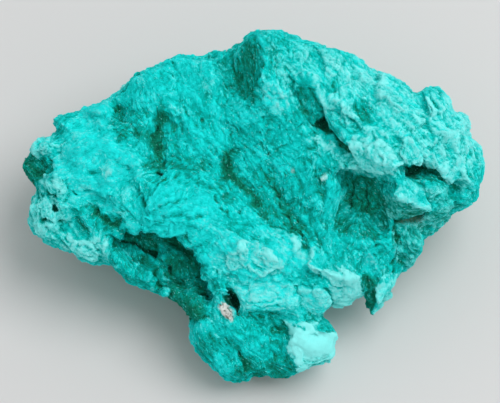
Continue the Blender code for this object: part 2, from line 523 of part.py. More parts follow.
def cut_base(obj):
    """Cuts the lump off flat at z = 0."""
    size = BASE_CUTTER * MM
    bpy.ops.mesh.primitive_cube_add(size=size, location=(0.0, 0.0, -size / 2))
    block = bpy.context.object
    base = obj.modifiers.new("flat_base", "BOOLEAN")
    base.operation = "DIFFERENCE"
    base.solver = "EXACT"
    base.object = block
    apply_modifiers(obj)
    bpy.data.objects.remove(block)


def clean_and_centre(mesh):
    """Merges the slivers that the cut leaves and moves the middle of the mesh's box over the origin."""
    body = bmesh.new()
    body.from_mesh(mesh)
    bmesh.ops.remove_doubles(body, verts=body.verts, dist=SLIVER * MM)
    bmesh.ops.dissolve_degenerate(body, edges=body.edges, dist=SLIVER * MM)
    bmesh.ops.triangulate(body, faces=body.faces)
    places = np.array([vertex.co for vertex in body.verts])
    middle = (places.min(axis=0) + places.max(axis=0)) / 2
    bmesh.ops.translate(body, verts=body.verts, vec=(-middle[0], -middle[1], 0.0))
    body.to_mesh(mesh)
    body.free()


def malachite():
    """Vivid green fibrous malachite, with a low sheen."""
    material = bpy.data.materials.new("fibrous_malachite")
    material.use_nodes = True
    shader = material.node_tree.nodes["Principled BSDF"]
    shader.inputs["Base Color"].default_value = (0.008, 0.42, 0.34, 1.0)
    shader.inputs["Roughness"].default_value = 0.62
    shader.inputs["Metallic"].default_value = 0.0
    return material


def main():
    for old in list(bpy.data.objects):
        bpy.data.objects.remove(old)
    specimen = bpy.data.objects.new("malachite_specimen", closed_lump())
    bpy.context.scene.collection.objects.link(specimen)
    even_skin(specimen)
    break_back(specimen.data)
    thin_triangles(specimen)
    cut_base(specimen)
    clean_and_centre(specimen.data)
    specimen.data.materials.clear()
    specimen.data.materials.append(malachite())


main()
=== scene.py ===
"""The finished look of a fibrous malachite specimen, built around its fixed solid.

The rock's skin is a fine mesh of the solid, broken into crust, shingled tufts and silky streaks. Needles grown
on it along the same streaks give the silk its glints, which are painted in lighter colours, and the crust its grain.
Hollows, undersides and faces turned from the light are painted darker as shade.
Face coordinates are millimetres: u to the right, v up the display face and w out of it.
"""

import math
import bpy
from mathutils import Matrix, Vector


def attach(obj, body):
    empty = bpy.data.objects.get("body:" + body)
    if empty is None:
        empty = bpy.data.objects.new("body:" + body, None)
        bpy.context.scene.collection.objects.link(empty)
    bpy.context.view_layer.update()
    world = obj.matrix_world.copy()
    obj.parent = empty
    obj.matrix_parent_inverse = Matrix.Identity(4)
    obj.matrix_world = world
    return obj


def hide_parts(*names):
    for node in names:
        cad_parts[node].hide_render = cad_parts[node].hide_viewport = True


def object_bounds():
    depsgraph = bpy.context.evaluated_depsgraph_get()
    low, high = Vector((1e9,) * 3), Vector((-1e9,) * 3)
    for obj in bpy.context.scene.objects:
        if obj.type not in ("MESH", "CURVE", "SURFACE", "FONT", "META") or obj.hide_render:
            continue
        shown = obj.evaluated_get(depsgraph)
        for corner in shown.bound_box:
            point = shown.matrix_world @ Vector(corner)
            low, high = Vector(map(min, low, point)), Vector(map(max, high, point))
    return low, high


bl_info = {
    "name": "Fibrous Malachite Specimen",
    "version": (1, 0, 0),
    "blender": (4, 5, 0),
    "location": "3D View > Sidebar > Malachite",
    "description": "Builds a fibrous malachite hand specimen and a pale stage for it",
    "category": "Add Mesh",
}

from itertools import product
from types import SimpleNamespace

import bmesh
import bpy
import numpy as np
from bpy.props import FloatProperty, FloatVectorProperty, IntProperty, PointerProperty
from bpy.types import Operator, Panel, PropertyGroup
from mathutils import Vector, kdtree

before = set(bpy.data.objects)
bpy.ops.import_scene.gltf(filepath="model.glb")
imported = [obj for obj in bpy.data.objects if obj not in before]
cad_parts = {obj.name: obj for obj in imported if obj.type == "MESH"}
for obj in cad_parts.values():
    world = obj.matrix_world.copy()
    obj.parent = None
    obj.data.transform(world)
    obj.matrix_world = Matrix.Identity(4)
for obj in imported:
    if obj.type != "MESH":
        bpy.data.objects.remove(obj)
CAD_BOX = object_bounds()

MM = 0.001
NODE = "malachite_specimen"
BODY = "root"
ROCK = "malachite_rock"

# The display face's own axes, u, v and w, and its centre in the part's frame, in millimetres.
FACE_LEAN = math.radians(25.0)
FACE_AXES = np.array([
    [1.0, 0.0, 0.0],
    [0.0, math.cos(FACE_LEAN), math.sin(FACE_LEAN)],
    [0.0, -math.sin(FACE_LEAN), math.cos(FACE_LEAN)],
])
FACE_CENTRE = np.array([-0.66, -1.75, 20.0])

# Which way the fibres run over the display face: (u, v), and degrees anticlockwise from u. Each mark counts
# within about FLOW_REACH, in mm.
FLOW_MARKS = [
    ((-42.0, 8.0), -20), ((-41.0, -2.0), -80), ((-36.0, -9.0), -30), ((-34.0, 5.0), 15), ((-30.0, 13.0), 35),
    ((-26.0, 18.0), -60), ((-22.0, 6.0), -10), ((-26.0, -4.0), -45), ((-18.0, 24.0), -70), ((-18.0, 13.0), -85),
    ((-12.0, 20.0), -58), ((-10.0, 10.0), -40), ((-16.0, 2.0), 55), ((-17.0, -3.0), 18), ((-10.0, -4.0), -20),
    ((-2.0, 26.0), -80), ((5.0, 29.0), -55), ((5.0, 20.0), -62), ((-2.0, 14.0), -48), ((4.0, 8.0), -52),
    ((-3.0, 3.0), -50), ((4.0, -4.0), -62), ((11.0, 2.0), -70), ((16.0, 0.0), -84), ((15.0, -6.0), -72),
    ((14.0, 26.0), -40), ((22.0, 20.0), -46), ((12.0, 20.0), -66), ((18.0, 13.0), -50), ((30.0, 16.0), -42),
    ((37.0, 20.0), -52), ((42.0, 12.0), -60), ((36.0, 9.0), -35), ((22.0, 8.0), -22), ((30.0, 7.0), -60),
    ((22.0, 0.0), -88), ((31.0, 0.5), -32), ((37.0, 1.0), -24), ((24.0, -7.0), -80), ((27.0, -12.0), -52),
    ((32.0, -8.0), -78), ((27.0, -18.0), -66), ((19.0, -15.0), -44), ((8.0, -10.0), -40), ((0.0, -10.0), -28),
    ((-7.0, -12.0), -50), ((2.0, -18.0), -10), ((13.0, -19.0), -32), ((-14.0, -13.0), -60), ((-21.0, -12.0), -40),
    ((-6.0, -25.0), -64), ((2.0, -30.0), -70), ((4.0, -25.0), -30), ((13.0, -28.0), -40),
]
FLOW_REACH = 3.4
# Fibre fans: root (u, v), how far the fan reaches and how strongly it turns the flow.
FANS = [((-21.5, -4.5), 12.0, 2.4), ((22.0, -2.0), 9.0, 0.9), ((-3.0, 19.0), 9.0, 0.6), ((2.0, -20.0), 10.0, 0.5)]

# Small forms that the solid leaves out: name, (u, v), half length, half width, turn in degrees, height and
# how much of it is flat. The sunken ones are painted darker as shade.
FINE_FORMS = [
    ("hole in the pale bulb", (-39.4, -1.2), 1.1, 0.75, -40, -1.5, 0.5),
    ("slot in the pale bulb", (-40.6, -4.2), 1.1, 0.4, 5, -1.2, 0.5),
    ("second hole in the pale bulb", (-38.0, -4.4), 0.6, 0.4, 0, -1.0, 0.4),
    ("spot beside the pale bulb", (-35.1, 1.9), 0.6, 0.5, -50, -1.0, 0.3),
    ("dimple on the left arm", (-31.7, 5.7), 0.7, 0.4, -30, -0.7, 0.3),
    ("hole under the left lip", (-19.6, -10.4), 0.8, 0.6, -40, -1.7, 0.5),
    ("spot in the left groove", (-18.6, 14.8), 0.9, 0.6, 80, -0.7, 0.1),
    ("second spot in the left groove", (-18.2, 10.4), 0.8, 0.6, 80, -0.5, 0.1),
    ("third spot in the left groove", (-18.4, 5.6), 0.6, 0.5, 0, -1.1, 0.4),
    ("first spot in the bowl", (-9.6, 16.8), 0.6, 0.4, 20, -0.4, 0.1),
    ("second spot in the bowl", (-3.6, 12.9), 0.6, 0.4, 20, -0.4, 0.1),
    ("third spot in the bowl", (2.8, 16.6), 0.6, 0.4, 20, -0.4, 0.1),
    ("fourth spot in the bowl", (3.2, 9.6), 0.6, 0.4, 20, -0.4, 0.1),
    ("fifth spot in the bowl", (-1.6, -2.4), 0.5, 0.3, 0, -0.7, 0.3),
    ("pit in the apron", (25.5, -9.1), 0.6, 0.45, 0, -0.9, 0.4),
    ("pits of the lobe", (-2.0, -31.0), 0.6, 0.4, 60, -0.5, 0.2),
    ("white grain", (14.6, 4.7), 0.75, 0.45, 20, 0.5, 0.4),
    ("matrix in the pocket", (-4.8, -21.7), 2.4, 0.9, -56, 0.6, 0.5),
    ("second hole under the left lip", (-19.4, -14.2), 0.6, 0.5, 0, -1.1, 0.4),
    ("third hole under the left lip", (-16.0, -13.7), 0.5, 0.7, 0, -1.0, 0.4),
    ("spot on the wall under the lip", (-9.8, -18.9), 0.7, 0.6, 0, -0.6, 0.3),
]

# Colour zones of the display face: name, (u, v), half length, half width, turn in degrees, tone and chalk.
# Tone runs from deep green to bright, and chalk is how far a pale weathered crust covers it. In every table
# of marks, later rows lie over earlier ones.
# The dark zones of hollows, walls, undersides and faces turned from the light are painted shade: under the left lip
# with its wall and lumps, the pocket, the shelf and lens hollows, the seam under the mass, the walls of the crest and
# the nose, the left face of the tongue, the upper apron and the foot and left edge of the lobe. Zones named shade are
# painted shade, and zones named lit are painted light.
ZONES = [
    ("silky bowl", (-2.0, 6.0), 17.0, 13.0, -30, 0.62, 0.03),
    ("lower bowl", (6.6, -2.0), 9.0, 4.6, -62, 0.44, 0.0),
    ("upper left slope", (-16.0, 23.5), 9.0, 5.0, 30, 0.74, 0.14),
    ("left arm", (-31.0, 8.0), 10.0, 8.0, 10, 1.0, 0.24),
    ("left fan", (-14.5, -2.0), 9.0, 5.5, 5, 0.88, 0.12),
    ("left valley", (-27.2, -5.0), 5.6, 1.8, -38, 0.50, 0.06),
    ("pale bulb", (-40.0, -1.0), 4.6, 6.6, 0, 0.76, 0.42),
    ("pale bulge", (-33.4, -9.0), 6.4, 2.8, -25, 0.78, 0.42),
    ("knob over the left tip", (-40.4, 11.0), 3.0, 2.2, 0, 0.86, 0.45),
    ("left tip", (-43.4, 6.0), 2.8, 3.4, 0, 0.16, 0.02),
    ("left dent", (-24.0, 15.2), 4.4, 3.4, 60, 0.50, 0.03),
    ("left grooves", (-18.6, 11.6), 7.4, 1.8, 88, 0.52, 0.02),
    ("dark mark in the bowl", (-4.4, 7.4), 3.4, 1.4, 80, 0.38, 0.0),
    ("groove in the bowl", (-0.4, 2.4), 5.0, 1.6, -48, 0.46, 0.0),
    ("crest", (6.0, 28.0), 9.0, 5.0, -35, 0.54, 0.18),
    ("wall of the crest", (0.0, 25.4), 2.8, 5.8, 0, 0.22, 0.02),
    ("upper right mass", (22.0, 20.5), 17.0, 7.0, -24, 0.82, 0.50),
    ("slab beside the crest", (12.2, 20.0), 4.6, 2.0, -68, 0.42, 0.06),
    ("far right mass", (39.0, 12.0), 8.0, 10.0, 0, 0.80, 0.54),
    ("lip of the shelf", (24.0, 9.0), 8.0, 3.6, -14, 0.76, 0.60),
    ("facet under the mass", (17.4, 14.4), 4.0, 1.4, -50, 0.50, 0.20),
    ("smooth hollow in the mass", (22.0, 18.0), 2.2, 1.4, -60, 0.44, 0.08),
    ("seam under the mass", (18.8, 10.8), 3.0, 0.8, -46, 0.12, 0.0),
    ("lens hollow", (34.0, 5.8), 4.2, 1.6, -10, 0.20, 0.0),
    ("shelf hollow", (23.4, 1.2), 3.8, 4.2, 0, 0.15, 0.0),
    ("top of the tongue", (31.2, 1.2), 4.6, 2.0, -30, 0.72, 0.50),
    ("left face of the tongue", (27.2, -1.2), 3.0, 1.4, -30, 0.26, 0.10),
    ("ledge", (37.4, 1.8), 3.0, 2.2, 0, 0.59, 0.34),
    ("right foot", (37.0, -3.4), 5.0, 2.4, 30, 0.46, 0.35),
    ("apron", (24.6, -9.4), 7.0, 5.0, -20, 0.62, 0.12),
    ("right of the apron", (31.4, -8.8), 3.0, 5.0, 0, 0.48, 0.30),
    ("nose", (27.2, -18.4), 2.4, 4.0, 0, 0.60, 0.45),
    ("wall of the nose", (23.4, -18.6), 1.3, 2.6, 10, 0.18, 0.0),
    ("crust below the bowl", (9.0, -9.8), 9.0, 2.2, -38, 0.94, 0.26),
    ("lower crust", (1.4, -12.2), 11.0, 4.6, -18, 1.0, 0.24),
    ("hollow between slabs", (10.8, -14.8), 3.4, 1.4, -22, 0.78, 0.14),
    ("plate", (19.0, -16.6), 4.8, 2.8, -42, 0.82, 0.68),
    ("slab over the pocket", (2.6, -18.6), 6.6, 2.6, -4, 0.76, 0.48),
    ("middle slab", (13.6, -19.4), 3.8, 2.6, -20, 0.90, 0.40),
    ("lobe", (-2.0, -27.0), 11.0, 9.0, 0, 0.64, 0.06),
    ("left of the lobe", (-7.6, -24.0), 4.0, 5.0, 0, 0.72, 0.22),
    ("dark middle of the lobe", (3.6, -24.6), 6.0, 2.2, -10, 0.52, 0.04),
    ("foot of the lobe", (3.0, -33.4), 8.0, 2.2, 0, 0.38, 0.02),
    ("pale facet", (12.6, -28.0), 4.8, 4.0, 0, 0.96, 0.92),
    ("knob beside the facet", (15.8, -25.2), 1.5, 1.5, 0, 0.46, 0.20),
    ("pocket", (-3.0, -19.6), 2.8, 1.5, -60, 0.06, 0.0),
    ("under the left lip", (-23.8, -8.6), 5.0, 1.5, -12, 0.08, 0.0),
    ("wall under the left lip", (-12.6, -15.0), 5.4, 4.4, -60, 0.28, 0.02),
    ("lumps under the left lip", (-21.0, -13.0), 5.4, 2.8, -30, 0.36, 0.04),
    ("rim of the left arm", (-30.5, 17.6), 6.0, 3.0, 38, 1.0, 0.28),
    ("foot of the bowl", (8.4, -5.4), 6.4, 1.9, -22, 0.42, 0.0),
    ("left edge of the lobe", (-8.6, -29.0), 1.8, 3.4, 0, 0.38, 0.0),
    ("shade in the bowl", (4.0, 10.3), 2.4, 2.0, 0, 0.48, 0.0),
    ("shade beside the left arm", (-20.2, 13.4), 2.2, 2.8, 0, 0.42, 0.0),
    ("shade on the left arm", (-32.0, -5.6), 2.2, 1.7, 0, 0.52, 0.12),
    ("shade on the crest", (-0.4, 30.2), 1.8, 2.2, 0, 0.28, 0.02),
    ("shade on the mass", (16.2, 22.4), 2.0, 2.0, 0, 0.60, 0.32),
    ("right edge of the bowl", (16.0, 0.8), 1.6, 3.8, 0, 0.72, 0.06),
    ("lit crust over the left valley", (-28.0, -1.4), 2.2, 1.6, 0, 0.92, 0.24),
    ("lit crust beside the pale bulb", (-36.0, -5.8), 2.0, 1.7, 0, 1.0, 0.54),
    ("lit foot of the apron", (24.2, -13.4), 2.2, 2.0, 0, 0.86, 0.34),
    ("upper apron", (20.6, -5.6), 6.0, 2.0, -4, 0.36, 0.02),
    ("shade over the fan", (-11.6, 7.0), 3.4, 2.2, 0, 0.44, 0.0),
    ("lit foot of the fan", (-8.0, -5.7), 2.4, 1.9, 0, 1.0, 0.22),
]
# Patches and seams are traced on a grid of 0.2 mm steps over the display face, counted right and down from its
# corner, and this is the face's centre on it.
GRID_STEP = 0.2
GRID_CENTRE = (250.0, 201.5)
# Patches with their own finish: name, outline on the grid, softness of the edge in mm, rise in mm, tone, chalk.
# These dark patches are painted shade: under the left lip and on the floor and wall below it, on the crest wall, in
# the pit at the foot of the mass, the lens and shelf hollows and the pocket, and on the left face of the tongue, the
# wall of the nose and the foot of the lobe.
PATCHES = [
    ("left tip", [
        (17, 163), (30, 156), (42, 161), (45, 168), (43, 176), (38, 183), (34, 189), (28, 184), (23, 176),
        (18, 170),
    ], 0.5, 0.0, 0.3, 0.0),
    ("pale bulb", [
        (33, 190), (43, 178), (57, 176), (66, 186), (67, 205), (64, 222), (62, 240), (50, 244), (38, 236),
        (29, 222), (28, 205),
    ], 1.0, 0.1, 0.68, 0.42),
    ("pale bulge", [
        (62, 235), (72, 228), (88, 233), (105, 237), (112, 250), (108, 262), (90, 257), (72, 251), (62, 244),
    ], 1.0, 0.2, 0.8, 0.46),
    ("left dent", [
        (117, 98), (123, 107), (128, 115), (133, 122), (127, 128), (118, 124), (112, 118), (111, 108),
    ], 0.9, -0.2, 0.44, 0.0),
    ("left grooves", [
        (160, 103), (167, 112), (165, 130), (166, 148), (168, 165), (164, 180), (157, 178), (152, 160),
        (150, 140), (153, 118),
    ], 1.6, 0.1, 0.46, 0.0),
    ("under the left lip", [
        (112, 238), (124, 238), (127, 229), (135, 231), (146, 231), (155, 228), (159, 234), (170, 235),
        (180, 236), (188, 240), (190, 249), (198, 256), (204, 262), (208, 274), (200, 272), (188, 262),
        (178, 254), (166, 248), (152, 249), (140, 247), (126, 242),
    ], 0.35, 0.3, 0.31, 0.0),
    ("floor under the left lip", [
        (110, 243), (124, 243), (140, 249), (154, 251), (166, 252), (169, 268), (172, 290), (182, 314),
        (166, 308), (146, 300), (124, 290), (106, 272),
    ], 0.7, 0.2, 0.49, 0.0),
    ("wall under the left lip", [
        (166, 250), (180, 252), (190, 261), (200, 271), (205, 285), (206, 303), (198, 320), (186, 314),
        (174, 298), (167, 286), (166, 268),
    ], 0.6, 0.9, 0.31, 0.0),
    ("crest wall", [
        (246, 38), (258, 42), (264, 55), (262, 75), (256, 92), (244, 99), (235, 92), (233, 75), (237, 60),
        (242, 45),
    ], 0.9, -0.1, 0.37, 0.0),
    ("slab beside the crest", [
        (297, 80), (305, 77), (312, 90), (319, 105), (322, 120), (316, 128), (305, 121), (298, 105),
    ], 0.7, -0.3, 0.48, 0.08),
    ("pit at the foot of the mass", [
        (313, 126), (322, 119), (328, 126), (331, 133), (322, 129),
    ], 0.3, -0.4, 0.14, 0.0),
    ("facet of the mass", [(324, 110), (332, 115), (346, 138), (340, 146), (328, 130)], 0.4, 0.15, 0.5, 0.22),
    ("hollow in the mass", [
        (356, 106), (366, 102), (373, 112), (371, 125), (362, 124), (355, 115),
    ], 0.6, -0.35, 0.42, 0.06),
    ("lip of the shelf", [
        (338, 158), (348, 148), (362, 152), (380, 160), (392, 168), (399, 178), (390, 182), (372, 177),
        (355, 174), (342, 172),
    ], 0.7, 0.1, 0.78, 0.52),
    ("lens hollow", [
        (402, 176), (408, 168), (417, 164), (423, 167), (419, 176), (410, 179),
    ], 0.3, -0.3, 0.12, 0.0),
    ("shelf hollow", [
        (348, 178), (356, 175), (366, 177), (386, 180), (384, 192), (381, 203), (383, 210), (373, 212),
        (366, 207), (358, 211), (350, 206), (349, 195), (346, 186),
    ], 0.8, 0.0, 0.29, 0.06),
    ("top of the tongue", [
        (385, 192), (392, 184), (402, 178), (413, 182), (421, 191), (427, 203), (426, 211), (418, 206),
        (407, 203), (396, 197),
    ], 0.3, 0.2, 0.78, 0.42),
    ("left face of the tongue", [
        (384, 193), (396, 198), (407, 203), (418, 207), (425, 211), (418, 217), (407, 219), (394, 222),
        (387, 214), (384, 203),
    ], 0.3, 0.0, 0.42, 0.34),
    ("hollow between the slabs", [
        (289, 283), (303, 272), (317, 272), (328, 282), (328, 291), (310, 288),
    ], 0.4, -0.15, 0.7, 0.16),
    ("plate", [
        (306, 262), (327, 272), (343, 278), (358, 276), (363, 287), (357, 296), (343, 309), (336, 308),
        (331, 299), (333, 293), (321, 275),
    ], 0.3, 0.35, 1.0, 0.74),
    ("slab over the pocket", [
        (230, 287), (247, 282), (267, 280), (290, 285), (299, 297), (298, 307), (277, 310), (260, 308),
        (240, 311), (236, 298),
    ], 0.75, 0.2, 0.98, 0.48),
    ("middle slab", [
        (300, 290), (320, 288), (328, 293), (334, 307), (327, 316), (316, 317), (306, 310), (301, 300),
    ], 0.35, 0.3, 0.98, 0.46),
    ("pocket", [
        (227, 288), (233, 290), (238, 299), (241, 309), (238, 313), (233, 307), (229, 301), (225, 296),
    ], 0.25, -0.2, 0.08, 0.0),
    ("dark top of the lobe", [
        (241, 314), (262, 319), (284, 322), (286, 333), (277, 347), (263, 350), (252, 338), (243, 326),
    ], 1.2, 0.1, 0.54, 0.03),
    ("pale facet", [
        (284, 320), (299, 323), (313, 322), (319, 331), (334, 337), (334, 356), (324, 361), (308, 367),
        (296, 370), (292, 350), (290, 334),
    ], 0.5, 0.2, 0.95, 1.0),
    ("knob beside the facet", [
        (317, 322), (327, 320), (336, 327), (336, 338), (323, 333),
    ], 0.3, 0.1, 0.46, 0.12),
    ("foot of the lobe", [(266, 361), (292, 357), (299, 367), (291, 380), (266, 379)], 0.8, -0.2, 0.38, 0.0),
    ("wall of the nose", [
        (359, 280), (366, 277), (374, 279), (378, 290), (377, 302), (375, 311), (366, 303), (359, 291),
    ], 0.4, 0.0, 0.27, 0.08),
    ("white grain", [(319, 177), (323, 175), (327, 176), (327, 179), (322, 180)], 0.15, 0.3, 1.0, 1.0),
    # The facet's lower edge is painted darker where it turns away from the light: painted shade.
    ("lower edge of the pale facet", [
        (295, 362), (310, 357), (324, 355), (334, 355), (324, 361), (309, 368), (296, 371),
    ], 0.4, 0.0, 0.62, 0.62),
    ("nose", [
        (380, 277), (398, 271), (392, 288), (383, 301), (376, 312), (378, 300), (379, 288),
    ], 0.35, 0.05, 0.8, 0.46),
    ("floor of the lens", [
        (419, 170), (430, 168), (441, 173), (444, 186), (434, 188), (424, 184), (417, 178),
    ], 0.5, 0.3, 0.38, 0.06),
    # Painted shadow on the rim below the left wall.
    ("rim below the left wall", [
        (164, 288), (174, 290), (186, 298), (198, 306), (206, 318), (196, 324), (180, 314), (166, 304),
        (156, 298),
    ], 0.6, 0.0, 0.2, 0.0),
    ("root of the tongue", [
        (383, 177), (400, 177), (399, 186), (391, 192), (384, 196), (380, 188),
    ], 0.6, -0.3, 0.52, 0.1),
    ("pale crust over the slab", [
        (222, 258), (236, 247), (246, 241), (262, 243), (276, 256), (286, 268), (284, 279), (262, 278),
        (246, 270), (228, 270),
    ], 0.8, 0.15, 1.0, 0.56),
    ("second pale crust", [(268, 232), (276, 231), (284, 244), (290, 252), (278, 250)], 0.7, 0.1, 0.95, 0.46),
    ("third pale crust", [
        (290, 236), (302, 240), (312, 254), (311, 264), (300, 258), (291, 248),
    ], 0.7, 0.15, 1.0, 0.6),
    ("pale crust under the crest", [
        (258, 90), (270, 82), (288, 92), (292, 106), (278, 113), (264, 103),
    ], 1.0, 0.15, 0.92, 0.4),
    ("pale brow of the bowl", [
        (308, 133), (322, 136), (338, 148), (336, 158), (320, 152), (309, 143),
    ], 0.8, 0.15, 0.86, 0.46),
    ("specks under the bowl", [
        (298, 214), (306, 212), (314, 220), (308, 226), (300, 222),
    ], 0.5, 0.0, 0.46, 0.14),
    ("pale crust of the left arm", [
        (96, 168), (104, 165), (113, 172), (111, 180), (101, 178),
    ], 0.8, 0.1, 0.95, 0.5),
    ("stone inside the pocket", [
        (226, 298), (232, 299), (238, 308), (238, 317), (232, 312),
    ], 0.3, -0.2, 0.16, 0.46),
    ("foot of the slab", [
        (277, 307), (297, 304), (306, 312), (302, 322), (289, 326), (281, 318),
    ], 0.5, 0.1, 0.86, 0.34),
]
# Patches that are flat fracture faces, and how flat each is.
FLAT_PATCHES = {
    "left tip": 0.1, "crest wall": 0.6, "slab beside the crest": 0.7, "facet of the mass": 0.8,
    "lip of the shelf": 0.5, "top of the tongue": 0.8, "left face of the tongue": 0.8,
    "hollow between the slabs": 0.8, "plate": 0.85, "slab over the pocket": 0.75, "middle slab": 0.75,
    "pale facet": 0.9, "nose": 0.6, "knob beside the facet": 0.4, "foot of the lobe": 0.4, "wall of the nose": 0.8,
}
# Dark seams and grooves, their darkness painted shade: name, path on the grid, half width in mm, depth in mm.
SEAMS = [
    ("cleft on the left hump", [(142, 199), (145, 210), (148, 222)], 0.30, 0.9),
    ("left groove", [(162, 112), (159, 128), (156, 146), (158, 158)], 0.9, -0.2),
    ("dark mark in the bowl", [(226, 156), (230, 168), (229, 178)], 1.0, -0.5),
    ("groove in the bowl", [(232, 178), (245, 190), (262, 204)], 0.5, 0.0),
    ("second groove in the bowl", [(216, 197), (223, 209), (229, 218)], 0.30, 0.4),
    ("third groove in the bowl", [(262, 168), (272, 186), (282, 208)], 0.3, 0.15),
    ("fourth groove in the bowl", [(284, 214), (297, 231), (306, 246)], 0.3, 0.2),
    ("slit over the pit", [(322, 106), (323, 121)], 0.22, 1.0),
    ("seam under the mass", [(329, 131), (340, 146), (351, 154)], 0.35, 1.0),
    ("edge of the mass", [(351, 154), (345, 164), (340, 175)], 0.35, 0.4),
    ("dark step", [(392, 223), (406, 222), (418, 218), (427, 212)], 0.45, 1.2),
    ("notch under the step", [(396, 222), (399, 234)], 0.30, 0.8),
    ("crease of the apron", [(400, 236), (397, 250), (394, 262)], 0.35, 0.7),
    ("rib of the shelf", [(366, 186), (367, 200), (364, 210)], 0.22, 0.5),
    ("second rib of the shelf", [(354, 184), (351, 197), (350, 208)], 0.22, 0.4),
    ("crack between the slabs", [(327, 289), (332, 297), (333, 305)], 0.26, 0.8),
    ("edge of the plate", [(318, 274), (330, 283), (344, 288)], 0.22, 0.5),
    ("crack over the middle slab", [(293, 284), (310, 289), (328, 291)], 0.2, 0.4),
    ("layer of the slab", [(246, 298), (262, 301), (280, 298)], 0.15, 0.15),
    ("second layer of the slab", [(250, 304), (264, 306), (286, 303)], 0.15, 0.15),
    ("edge of the pale facet", [(291, 325), (298, 325), (305, 329)], 0.2, 0.3),
    ("groove of the lobe", [(240, 352), (241, 362), (246, 370)], 0.35, 0.2),
    ("crack of the left rim", [(35, 241), (52, 250), (74, 256), (98, 263)], 0.25, 0.5),
    ("groove beside the bulb", [(67, 178), (70, 192), (64, 206)], 0.4, 0.6),
    ("groove of the left tip", [(48, 158), (49, 170), (46, 182)], 0.3, 0.7),
    ("crescent under the bulb's brow", [(40, 196), (48, 192), (57, 194)], 0.3, 0.5),
    ("left valley", [(96, 212), (110, 224), (124, 232)], 0.7, 0.3),
    ("groove on the left arm", [(88, 116), (98, 118), (108, 117)], 0.3, 0.5),
    ("first groove of the knob", [(430, 93), (434, 102), (438, 110)], 0.2, 0.45),
    ("second groove of the knob", [(437, 92), (441, 101), (445, 109)], 0.2, 0.45),
    ("third groove of the knob", [(424, 98), (428, 107), (432, 114)], 0.2, 0.45),
    ("fold right of the lens", [(439, 178), (450, 182), (458, 190)], 0.3, 0.3),
    ("fold of the right rim", [(470, 150), (466, 166), (470, 180)], 0.4, 0.5),
    ("slit under the left lip", [(112, 238), (124, 240), (137, 247), (148, 251)], 0.35, 1.0),
    ("groove of the left rim", [(156, 280), (161, 287), (170, 293)], 0.35, 0.6),
    ("furrow of the fan", [(150, 214), (163, 205), (186, 199)], 0.35, 0.3),
    ("second furrow of the fan", [(153, 221), (174, 216), (202, 218)], 0.35, 0.3),
    ("third furrow of the fan", [(152, 226), (172, 232), (190, 236)], 0.3, 0.25),
    ("fourth furrow of the fan", [(145, 208), (152, 192), (166, 178)], 0.35, 0.3),
]
# Raised edges and strands: name, path on the grid, half width in mm, rise in mm.
RIDGES = [
    ("edge of the left lip", [
        (112, 236), (126, 227), (150, 229), (176, 232), (194, 248), (206, 262), (211, 284),
    ], 0.5, 0.45),
    ("brow beside the crest", [(293, 80), (300, 72), (310, 75), (318, 88), (325, 106)], 0.5, 0.5),
    ("edge of the facet", [(325, 108), (337, 128), (350, 146), (362, 150)], 0.4, 0.45),
    ("ridge of the shelf", [(347, 142), (362, 132), (370, 150), (380, 170)], 0.6, 0.5),
    ("brow over the lens", [(397, 180), (405, 167), (418, 160), (438, 166), (452, 178)], 0.5, 0.45),
    ("fold of the far right", [(430, 118), (445, 135), (458, 150), (455, 172)], 0.6, 0.45),
    ("fold over the shelf", [(388, 120), (402, 134), (418, 150)], 0.6, 0.4),
    ("brow of the slab", [(228, 287), (246, 281), (268, 279), (294, 285)], 0.35, 0.35),
    ("edge of the upper plate", [(304, 262), (328, 273), (346, 277), (360, 274)], 0.35, 0.4),
    ("edge of the right plate", [(360, 276), (365, 290), (357, 298), (344, 310)], 0.3, 0.3),
    ("top edge of the tongue", [(388, 180), (404, 182), (418, 192), (427, 206)], 0.35, 0.35),
    ("edge of the pale facet", [(303, 329), (314, 323), (322, 333), (335, 341)], 0.3, 0.3),
    ("crest of the lower crust", [(206, 262), (226, 248), (250, 244), (272, 252)], 0.7, 0.4),
    ("strand of the bowl", [(257, 148), (266, 166), (272, 186)], 0.3, 0.18),
    ("second strand of the bowl", [(268, 150), (279, 172), (288, 196)], 0.3, 0.15),
    ("third strand of the bowl", [(240, 206), (262, 224), (282, 244)], 0.35, 0.15),
    ("fourth strand of the bowl", [(292, 178), (300, 204), (306, 226)], 0.3, 0.15),
    ("fold of the bowl", [(196, 100), (214, 112), (236, 122), (262, 126)], 0.8, 0.35),
    ("second fold of the bowl", [(176, 112), (196, 132), (214, 144)], 0.7, 0.3),
    ("strand of the fan", [(147, 216), (160, 202), (178, 193)], 0.3, 0.3),
    ("second strand of the fan", [(150, 219), (170, 211), (194, 211)], 0.3, 0.3),
    ("third strand of the fan", [(153, 223), (174, 221), (198, 226)], 0.3, 0.3),
    ("fourth strand of the fan", [(146, 213), (151, 198), (162, 184)], 0.3, 0.3),
    ("fold of the left arm", [(70, 132), (94, 142), (118, 152), (134, 166)], 0.7, 0.4),
    ("second fold of the left arm", [(74, 160), (96, 168), (118, 184)], 0.6, 0.35),
    ("edge of the left wall", [(262, 40), (266, 58), (262, 78), (256, 94)], 0.5, 0.5),
    ("ridge of the nose", [(379, 280), (378, 294), (376, 306)], 0.4, 0.25),
]
